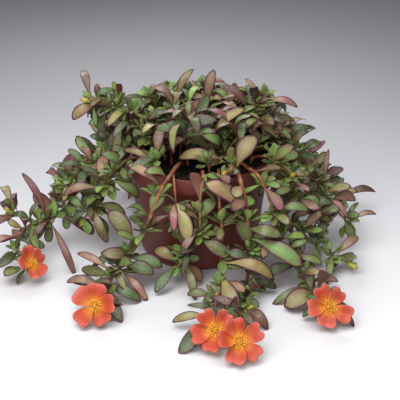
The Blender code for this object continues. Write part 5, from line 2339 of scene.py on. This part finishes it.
@dataclass
class Flower:
    """An open bloom: five broad notched petals, their green cup and a tuft of stamens."""

    petals: int = 5
    length: float = 18.5 * MM
    half_angle: float = 38.0
    notch: float = 0.1
    notch_width: float = 0.22
    shoulder: float = 0.52
    cup: float = 5.0 * MM
    twist: float = 11.0
    thick: float = 0.45 * MM
    ruffle: float = 0.8 * MM
    across: int = 18
    out: int = 12

    # The stamens
    threads: int = 30
    thread_length: float = 5.6 * MM
    thread_radius: float = 0.22 * MM
    thread_lengths: tuple[float, float] = (0.8, 1.15)
    thread_lean: float = 52
    throat: float = 1.6
    throat_height: float = 0.3 * MM
    head: float = 0.75 * MM
    heads: tuple[float, float] = (0.8, 1.2)
    head_slimness: float = 0.7
    ovary: tuple[float, float, float] = (2.3 * MM, 2.3 * MM, 1.8 * MM)
    ovary_shade: tuple[float, float, float] = (0.9, 0.4, 0.5)

    # The cup of sepals
    sepals: int = 9
    sepal_length: float = 7.5
    sepal_longer: float = 0.5
    sepal_width: float = 0.62
    sepal_arch: float = -0.14
    sepal_thick: float = 1.4 * MM
    sepal_back: float = 0.8
    sepal_along: float = 0.9
    sepal_out: float = 0.75
    sepal_opening: float = 0.06
    sepal_youth: float = 0.6

    # How the petals differ, as ranges of factors, and how they bend
    lengths: tuple[float, float] = (0.9, 1.08)
    notches: tuple[float, float] = (0.3, 1.4)
    spreads: tuple[float, float] = (0.8, 1.15)
    claw: float = 0.85
    waves: tuple[float, float] = (2.2, 3.4)
    wave_starts: tuple[float, float] = (0, 6.28)
    creases: tuple[float, float] = (0.5, 1.8)
    crease_width: float = 0.22
    crease_power: float = 1.5
    cup_power: float = 1.6
    cups: tuple[float, float] = (0.5, 1.7)
    twists: tuple[float, float] = (0.4, 2.4)
    edge_lift: float = 2.6
    tip_fall: float = 1.6 * MM
    tip_from: float = 0.8
    tip_falls: tuple[float, float] = (0, 0.5)
    stray: float = 8

    def build(
        self, name: str, bloom: Bloom, finishes: dict[str, bpy.types.Material], forms: dict[str, LeafForm]
    ) -> None:
        """Builds a bloom and dresses its pieces.

        Args:
            name: The bloom.
            bloom: Its place, heading and size.
            finishes: The finishes by slot.
            forms: The forms that its sepals are bent from.
        """
        rng = random.Random(name)
        petals = [self._petal(f"{name}_petal_{i}", i, rng) for i in range(self.petals)]
        choose(*petals)
        bpy.ops.object.join()
        corolla = bpy.context.object
        corolla.name = corolla.data.name = f"{name}_corolla"
        self._place(corolla, bloom, bloom.turn)
        dress(corolla, "petal", finishes["petal"], f"{name}_petals")
        dress(self._calyx(name, bloom, forms), "foliage", finishes["foliage"], f"{name}_petals")
        tuft = self._stamens(f"{name}_tuft", rng)
        self._place(tuft, bloom, 0)
        dress(tuft, "stamen", finishes["stamen"], f"{name}_stamens")

    def _place(self, piece: bpy.types.Object, bloom: Bloom, turn: float) -> None:
        """Sets a piece that was made at the origin where its bloom is."""
        piece.matrix_world = bloom.frame @ Matrix.Rotation(math.radians(turn), 4, "Z")
        settle_transform(piece)

    def _petal(self, name: str, index: int, rng: random.Random) -> bpy.types.Object:
        """One petal, bent out of a flat grid and thickened."""
        deselect_all()
        bpy.ops.mesh.primitive_grid_add(x_subdivisions=self.across, y_subdivisions=self.out, size=2)
        petal = bpy.context.object
        petal.name = name
        grid = np.array([vertex.co for vertex in petal.data.vertices])
        side, reach = grid[:, 0], (grid[:, 1] + 1) / 2
        length = self.length * rng.uniform(*self.lengths)
        dip = self.notch * rng.uniform(*self.notches) * np.exp(-((side / self.notch_width) ** 2))
        edge = 1 - dip - self.shoulder * np.abs(side) ** 4
        spread = self.half_angle * rng.uniform(*self.spreads)
        angle = np.radians(side * spread * (self.claw + (1 - self.claw) * np.minimum(1, reach * 2)))
        far = reach * edge * length
        phase, waves = rng.uniform(*self.wave_starts), rng.uniform(*self.waves)
        ruffle = self.ruffle * np.sin(side * waves * 2 + phase) * reach**2
        fold = np.exp(-((side / self.crease_width) ** 2)) * reach**self.crease_power
        crease = -rng.uniform(*self.creases) * MM * fold
        lift = self.cup * (far / length) ** self.cup_power * rng.uniform(*self.cups) + ruffle + crease
        twist = math.tan(math.radians(self.twist * rng.uniform(*self.twists)))
        lift = lift + twist * far * np.sin(angle)
        lift = lift + rng.uniform(0, self.edge_lift) * MM * side**2 * reach
        beyond = np.maximum(0, reach - self.tip_from) / (1 - self.tip_from)
        lift = lift - self.tip_fall * beyond * rng.uniform(*self.tip_falls)
        shape = np.column_stack([far * np.cos(angle), far * np.sin(angle), lift])
        petal.data.vertices.foreach_set("co", shape.ravel())
        chance = np.full(len(side), rng.random())
        paint_points(petal, "petal", np.column_stack([reach * edge / edge.max(), side, chance]))
        bpy.ops.object.shade_smooth()
        wall = petal.modifiers.new("wall", "SOLIDIFY")
        wall.thickness = self.thick
        wall.offset = 0
        bpy.ops.object.modifier_apply(modifier=wall.name)
        turn = math.radians(360 / self.petals * index + rng.uniform(-self.stray, self.stray))
        petal.matrix_world = Matrix.Rotation(turn, 4, "Z")
        settle_transform(petal)
        return petal

    def _calyx(self, name: str, bloom: Bloom, forms: dict[str, LeafForm]) -> bpy.types.Object:
        """The green cup of sepals under the petals."""
        foliage = Foliage(forms, SEED + len(name))
        back = Vector(bloom.centre) * MM - bloom.axis * RECEPTACLE_DEPTH * bloom.size
        for i in range(self.sepals):
            out = outward(bloom.axis, GOLDEN_ANGLE * i)
            lean = out * (self.sepal_out + self.sepal_opening * i)
            heading, rise = heading_and_rise(bloom.axis * self.sepal_along + lean)
            length = (self.sepal_length + self.sepal_longer * i) * MM * bloom.size
            foliage.add(Blade(
                back - bloom.axis * self.sepal_back * MM, heading, rise, 0, length,
                length * self.sepal_width, self.sepal_arch * length, self.sepal_thick, Tone.BRIGHT,
                self.sepal_youth,
            ))
        return foliage.bundle.piece(f"{name}_calyx")

    def _stamens(self, name: str, rng: random.Random) -> bpy.types.Object:
        """Threads that spread from the throat, each with a powdery head, round a low dome in the middle."""
        ball, ball_faces = unit_ball()
        deselect_all()
        bpy.ops.mesh.primitive_cylinder_add(vertices=5, radius=1, depth=1, location=(0, 0, 0.5))
        rod, rod_faces = taken_apart(bpy.context.object)
        rod_rows = rod[:, [2]] * np.array([1, 0, 0])
        seat = np.array([0, 0, self.throat_height])
        bundle = Bundle()
        bundle.gather(ball * np.array(self.ovary) + seat, ball_faces, stamen=np.array(self.ovary_shade))
        for i in range(self.threads):
            lean = math.radians(self.thread_lean * math.sqrt((i + 0.5) / self.threads))
            turn = GOLDEN_ANGLE * i
            out = math.sin(lean)
            direction = Vector((out * math.cos(turn), out * math.sin(turn), math.cos(lean)))
            length = self.thread_length * rng.uniform(*self.thread_lengths)
            base = Vector((direction.x, direction.y, 0)) * self.throat * MM + Vector(seat)
            turned = np.array(direction.to_track_quat("Z", "Y").to_matrix())
            scaled = rod * np.array([self.thread_radius, self.thread_radius, length])
            bundle.gather(scaled @ turned.T + base, rod_faces, stamen=rod_rows)
            size = self.head * rng.uniform(*self.heads)
            knob = ball * np.array([size * self.head_slimness, size * self.head_slimness, size])
            tip = np.array(base + direction * length)
            bundle.gather(knob @ turned.T + tip, ball_faces, stamen=np.array([1.0, 1.0, rng.random()]))
        return bundle.piece(name)


def turned_body(name: str, rings: list[tuple[float, float]], sides: int) -> bpy.types.Object:
    """A body turned from rings that are extruded one out of the other.

    Args:
        name: Its name.
        rings: Radius and height of each ring. The first one is closed by a flat face.
        sides: How many points each ring has.

    Returns:
        The body, with its normals outwards.
    """
    deselect_all()
    (radius, height), *steps = rings
    bpy.ops.mesh.primitive_circle_add(
        vertices=sides, radius=radius, fill_type="NGON", location=(0, 0, height)
    )
    body = bpy.context.object
    body.name = body.data.name = name
    settle_transform(body)
    bpy.ops.object.mode_set(mode="EDIT")
    bpy.ops.mesh.select_all(action="SELECT")
    bpy.ops.mesh.duplicate()
    bpy.ops.mesh.select_all(action="DESELECT")
    bpy.ops.object.mode_set(mode="OBJECT")
    body.data.polygons[0].select = True
    bpy.ops.object.mode_set(mode="EDIT")
    for next_radius, next_height in steps:
        bpy.ops.mesh.extrude_region_move(
            TRANSFORM_OT_translate={"value": (0, 0, next_height - height)}
        )
        grow = next_radius / radius
        bpy.ops.transform.resize(value=(grow, grow, 1), center_override=(0, 0, next_height))
        radius, height = next_radius, next_height
    bpy.ops.mesh.select_all(action="SELECT")
    bpy.ops.mesh.remove_doubles(threshold=WELD)
    bpy.ops.mesh.normals_make_consistent(inside=False)
    bpy.ops.object.mode_set(mode="OBJECT")
    return body


@dataclass
class NurseryPot:
    """The thin moulded pot, turned as one wall from its floor, up inside and down outside."""

    height: float = 87 * MM
    rim: float = 60 * MM
    body_top: float = 57.4 * MM
    foot: float = 48.5 * MM
    wall: float = 1.6 * MM
    band: float = 13 * MM
    foot_round: float = 2 * MM
    sides: int = 128
    drains: int = 5
    drain_radius: float = 3.5 * MM
    drain_circle: float = 32 * MM
    ledge: float = 0.5 * MM
    bead: float = 0.9 * MM
    bead_round: float = 0.25 * MM
    bead_height: float = 2.2 * MM
    crease: float = 0.1 * MM
    foot_bend: float = 0.6 * MM
    foot_height: float = 3 * MM
    slope: float = 0.05 * MM
    recess: float = 6 * MM
    recess_edge: float = 4 * MM
    recess_depth: float = 1.2 * MM
    smooth_below: float = 35

    def profile(self) -> list[tuple[float, float]]:
        """Radius and height of each ring, from the middle of the foot up outside and down inside."""
        low = self.height - self.band
        top, rim, foot, body = self.height, self.rim, self.foot, self.body_top
        ledge, bead, crease = self.ledge, self.bead, self.crease
        outside = [
            (foot - self.recess, self.recess_depth), (foot - self.recess_edge, 0),
            (foot - self.foot_round, 0), (foot - self.foot_bend, self.foot_bend),
            (foot, self.foot_round), (foot + self.slope, self.foot_height),
            (body - self.slope, low - ledge), (body, low - crease), (body + ledge, low),
            (rim - ledge, low), (rim - crease, low + crease), (rim, low + ledge),
            (rim, top - self.bead_height), (rim, top - bead),
            (rim - self.bead_round, top - self.bead_round),
        ]
        wall = self.wall
        inside = [
            (rim - wall / 2, top), (rim - wall + self.bead_round, top - self.bead_round),
            (rim - wall, top - bead), (rim - wall, low + wall), (body - wall, low - wall),
            (foot - wall, wall + self.foot_round), (foot - wall - self.foot_round, wall),
        ]
        return outside + inside

    def build(self, finish: bpy.types.Material) -> None:
        """Turns the pot, cuts its drain holes and dresses it."""
        pot = turned_body("pot_shell", self.profile(), self.sides)
        self._cut_drains(pot)
        choose(pot)
        bpy.ops.object.shade_smooth_by_angle(angle=math.radians(self.smooth_below))
        dress(pot, "pot_plastic", finish, "pot")

    def _cut_drains(self, pot: bpy.types.Object) -> None:
        """Cuts the drain holes through the floor."""
        for i in range(self.drains):
            deselect_all()
            turn = 2 * math.pi * (i + 0.5) / self.drains
            place = (self.drain_circle * math.cos(turn), self.drain_circle * math.sin(turn), 0)
            bpy.ops.mesh.primitive_cylinder_add(
                vertices=32, radius=self.drain_radius, depth=self.foot / 4, location=place
            )
            drill = bpy.context.object
            choose(pot)
            cut = pot.modifiers.new("drain", "BOOLEAN")
            cut.object = drill
            cut.operation = "DIFFERENCE"
            bpy.ops.object.modifier_apply(modifier=cut.name)
            bpy.data.objects.remove(drill)


@dataclass
class PottingMix:
    """The peat that fills the pot: a turned body with an uneven top, and loose crumbs on it."""

    foot: float = 46.2 * MM
    base: float = 1.9 * MM
    top: float = 57.9 * MM
    edge: float = 78.6 * MM
    rise: float = 1.8 * MM
    bump: float = 1.6 * MM
    sides: int = 72
    rings: int = 22
    crumbs: int = 360
    crumb: tuple[float, float] = (0.7 * MM, 2.1 * MM)
    crumb_power: float = 0.7
    crumb_shapes: tuple[float, float] = (0.6, 1.2)
    crumb_roughness: float = 0.25
    crumb_seat: float = 0.2
    crumb_circle: float = 52 * MM
    inner: float = 55.4 * MM
    foot_slope: float = 0.4 * MM
    foot_height: float = 6 * MM
    shoulder: float = 5 * MM
    top_layer: float = 1 * MM
    dome: float = 55 * MM
    coarse: float = 90
    fine: float = 260

    def build(self, finish: bpy.types.Material) -> None:
        """Builds the body and the crumbs and dresses them."""
        inner = self.inner
        rings = [
            (self.foot, self.base), (self.foot + self.foot_slope, self.foot_height),
            (inner, self.edge - self.shoulder), (inner, self.edge),
        ]
        rings += [(inner * (1 - i / self.rings), self.edge) for i in range(1, self.rings)]
        body = turned_body("peat_body", rings, self.sides)
        for vertex in body.data.vertices:
            if vertex.co.z > self.edge - self.top_layer:
                vertex.co.z = self.level(vertex.co.x, vertex.co.y)
        bpy.ops.object.shade_smooth()
        dress(body, "potting_mix", finish, "potting_mix")
        dress(self._crumbs(), "potting_mix", finish, "potting_mix")

    def level(self, x: float, y: float) -> float:
        """The height of the mix's top at a place."""
        radius = math.hypot(x, y) / self.dome
        place = Vector((x, y, 0))
        wave = noise.noise(place * self.coarse) + 0.5 * noise.noise(place * self.fine)
        return self.edge + self.rise * (1 - radius**2) + self.bump * wave

    def _crumbs(self) -> bpy.types.Object:
        """Loose crumbs, each a small rough lump that is half sunk in the mix."""
        ball, faces = unit_ball()
        rng = np.random.default_rng(SEED)
        bundle = Bundle()
        rough = self.crumb_roughness
        for _ in range(self.crumbs):
            reach = self.crumb_circle * math.sqrt(rng.random())
            turn = rng.uniform(0, 2 * math.pi)
            x, y = reach * math.cos(turn), reach * math.sin(turn)
            size = rng.uniform(*self.crumb) * rng.random() ** self.crumb_power + self.crumb[0] / 2
            shape = ball * rng.uniform(*self.crumb_shapes, 3)
            shape = shape * (1 + rng.uniform(-rough, rough, (len(ball), 1)))
            seat = np.array([x, y, self.level(x, y) + size * self.crumb_seat])
            bundle.gather(shape * size + seat, faces)
        return bundle.piece("peat_crumbs")


@dataclass(frozen=True)
class Lamp:
    """A square softbox: where it hangs, where it looks, its size, its power and its spread."""

    name: str
    place: tuple[float, float, float]
    aim: tuple[float, float, float]
    size: float
    power: float
    spread: float

    def build(self) -> None:
        """Hangs the softbox."""
        lamp = bpy.data.lights.new(self.name, "AREA")
        lamp.energy = self.power
        lamp.size = self.size
        lamp.spread = math.radians(self.spread)
        holder = bpy.data.objects.new(self.name, lamp)
        holder.location = self.place
        look = Vector(self.aim) - Vector(self.place)
        holder.rotation_euler = look.to_track_quat("-Z", "Y").to_euler()
        bpy.context.collection.objects.link(holder)


@dataclass
class Studio:
    """The paper, the lights and the camera of the photograph."""

    focal: float = 118.35
    sensor: float = 36.0
    eye: tuple[float, float, float] = (0.0008, -0.9801, 0.5394)
    tilt: float = 63.0
    paper_reach: float = 3.0
    sky: float = 0.13
    lamps: tuple[Lamp, ...] = (
        Lamp("key", (-0.3, -0.6, 0.8), (-0.05, -0.3, 0), 0.7, 2.6, 100),
        Lamp("top", (0.1, -0.3, 0.9), (0, -0.25, 0), 0.7, 1.4, 105),
        Lamp("front", (-0.15, -1.15, 0.6), (0, -0.1, 0.03), 0.8, 0.9, 110),
        Lamp("back", (-0.15, 0.75, 0.7), (0, 0.05, 0.06), 0.5, 0.8, 60),
    )

    def build(self) -> None:
        """Sets up everything that isn't the plant."""
        scene = bpy.context.scene
        scene.view_settings.view_transform = "Standard"
        self._paper()
        self._world()
        for lamp in self.lamps:
            lamp.build()
        camera = bpy.data.cameras.new("camera")
        camera.lens = self.focal
        camera.sensor_width = self.sensor
        holder = bpy.data.objects.new("camera", camera)
        holder.location = self.eye
        holder.rotation_euler = (math.radians(self.tilt), 0, 0)
        bpy.context.collection.objects.link(holder)
        scene.camera = holder
        log.info("studio: paper, %d lights and the camera", len(self.lamps))

    def _paper(self) -> None:
        """The pale paper that the plant stands on."""
        deselect_all()
        bpy.ops.mesh.primitive_plane_add(size=2 * self.paper_reach, location=(0, 0, 0))
        paper = bpy.context.object
        paper.name = paper.data.name = "studio_paper"
        settle_transform(paper)
        paper.data.materials.append(Backdrop().material())
        paper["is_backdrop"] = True

    def _world(self) -> None:
        """A plain, even light from all sides."""
        world = bpy.data.worlds.new("studio")
        world.use_nodes = True
        background = next(node for node in world.node_tree.nodes if node.type == "BACKGROUND")
        background.inputs["Color"].default_value = (1, 1, 1, 1)
        background.inputs["Strength"].default_value = self.sky
        bpy.context.scene.world = world


class Portulaca:
    """The whole plant in its pot."""

    ROOM_STEP = Room.CELL / 2
    BLOOM_REACH = 19 * MM
    BLOOM_DEPTH = (-4 * MM, 26 * MM)
    BLOOM_STEPS = 60
    POT_HEIGHT = 87 * MM
    POT_TOP = 88 * MM
    POT_STEPS = 300
    POT_RIM = 60.5
    POT_RIM_FROM = 0.84
    POT_FOOT = 48.5
    POT_WIDENING = 9.2
    MIX_FROM = 0.9
    MIX_REACH = 56 * MM

    def __init__(self) -> None:
        """Models the leaf forms and gets the finishes ready."""
        noise.seed_set(SEED)
        shapes = [
            LeafShape("small", 8, 7),
            LeafShape("young", 8, 7, fullness=1.3, roundness=0.75, base=0.5, cup=0.2, crease=0.35),
            LeafShape("large", 12, 12),
        ]
        self.forms = {shape.name: LeafForm(shape) for shape in shapes}
        self.finishes = {
            "foliage": LeafSkin().material(), "stem": StemSkin().material(), "bud": BudSkin().material(),
            "petal": PetalSilk().material(), "stamen": StamenGold().material(),
        }

    def build(self) -> None:
        """Builds the plant from its pot to its blooms."""
        NurseryPot().build(PotPlastic().material())
        PottingMix().build(Peat().material())
        growth = self.grow()
        wood, buds = StemWood(), BudForm()
        for name in SHOOTS:
            Shoot(name, growth, wood, buds).build(self.forms, self.finishes)
        flower = Flower()
        for name, bloom in BLOOMS.items():
            flower.build(name, bloom, self.finishes, self.forms)

    def grow(self) -> Thicket:
        """Grows all the leaves round what is already there."""
        room = Room()
        self._fill_pot(room)
        for bloom in BLOOMS.values():
            self._fill_bloom(room, bloom)
        for _, _, stem in all_stems():
            route = [np.array(point) * MM for point in stem]
            for a, b in zip(route, route[1:]):
                steps = max(2, int(np.linalg.norm(b - a) / Room.CELL) * 2)
                room.take(a + np.linspace(0, 1, steps)[:, None] * (b - a))
        for gap in GAPS:
            room.take(gap.points(self.ROOM_STEP))
        growth = Thicket(room, self.forms["small"])
        growth.repeat_solids()
        log.info("leaves of the solids: %d, not found: %d", self._count(growth), growth.skipped)
        growth.keep_in_view()
        growth.dress_necks()
        growth.fill_stems()
        growth.fill_crown()
        growth.fill_back()
        log.info("leaves in all: %d", self._count(growth))
        return growth

    def _count(self, growth: Growth) -> int:
        """How many leaves the plant has so far."""
        return sum(len(blades) for blades in growth.blades.values())

    def _fill_pot(self, room: Room) -> None:
        """Fills the room of the pot and the mix."""
        steps = np.linspace(0, 2 * math.pi, self.POT_STEPS)
        circle = np.column_stack([np.cos(steps), np.sin(steps)])
        for height in np.arange(0, self.POT_TOP, self.ROOM_STEP):
            share = height / self.POT_HEIGHT
            body = self.POT_FOOT + self.POT_WIDENING * share
            outer = (self.POT_RIM if share > self.POT_RIM_FROM else body) * MM
            inner = self.MIX_REACH if share > self.MIX_FROM else 0
            for radius in np.arange(inner, outer, self.ROOM_STEP):
                room.take(np.column_stack([circle * radius, np.full(len(steps), height)]))

    def _fill_bloom(self, room: Room, bloom: Bloom) -> None:
        """Fills the room of a bloom and the air just in front of it."""
        for depth in np.arange(*self.BLOOM_DEPTH, self.ROOM_STEP):
            for radius in np.arange(0, self.BLOOM_REACH, self.ROOM_STEP):
                for turn in np.linspace(0, 2 * math.pi, self.BLOOM_STEPS):
                    spot = Vector((radius * math.cos(turn), radius * math.sin(turn), depth))
                    room.take(np.array([bloom.frame @ spot]))


def main() -> None:
    """Builds the plant and the studio."""
    logging.basicConfig(level=logging.INFO, format="%(name)s: %(message)s")
    Portulaca().build()
    Studio().build()
    boxes = {"cad": CAD_BOX, "visual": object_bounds()}
    plain = {name: [list(corner) for corner in corners] for name, corners in boxes.items()}


if __name__ == "__main__":
    main()
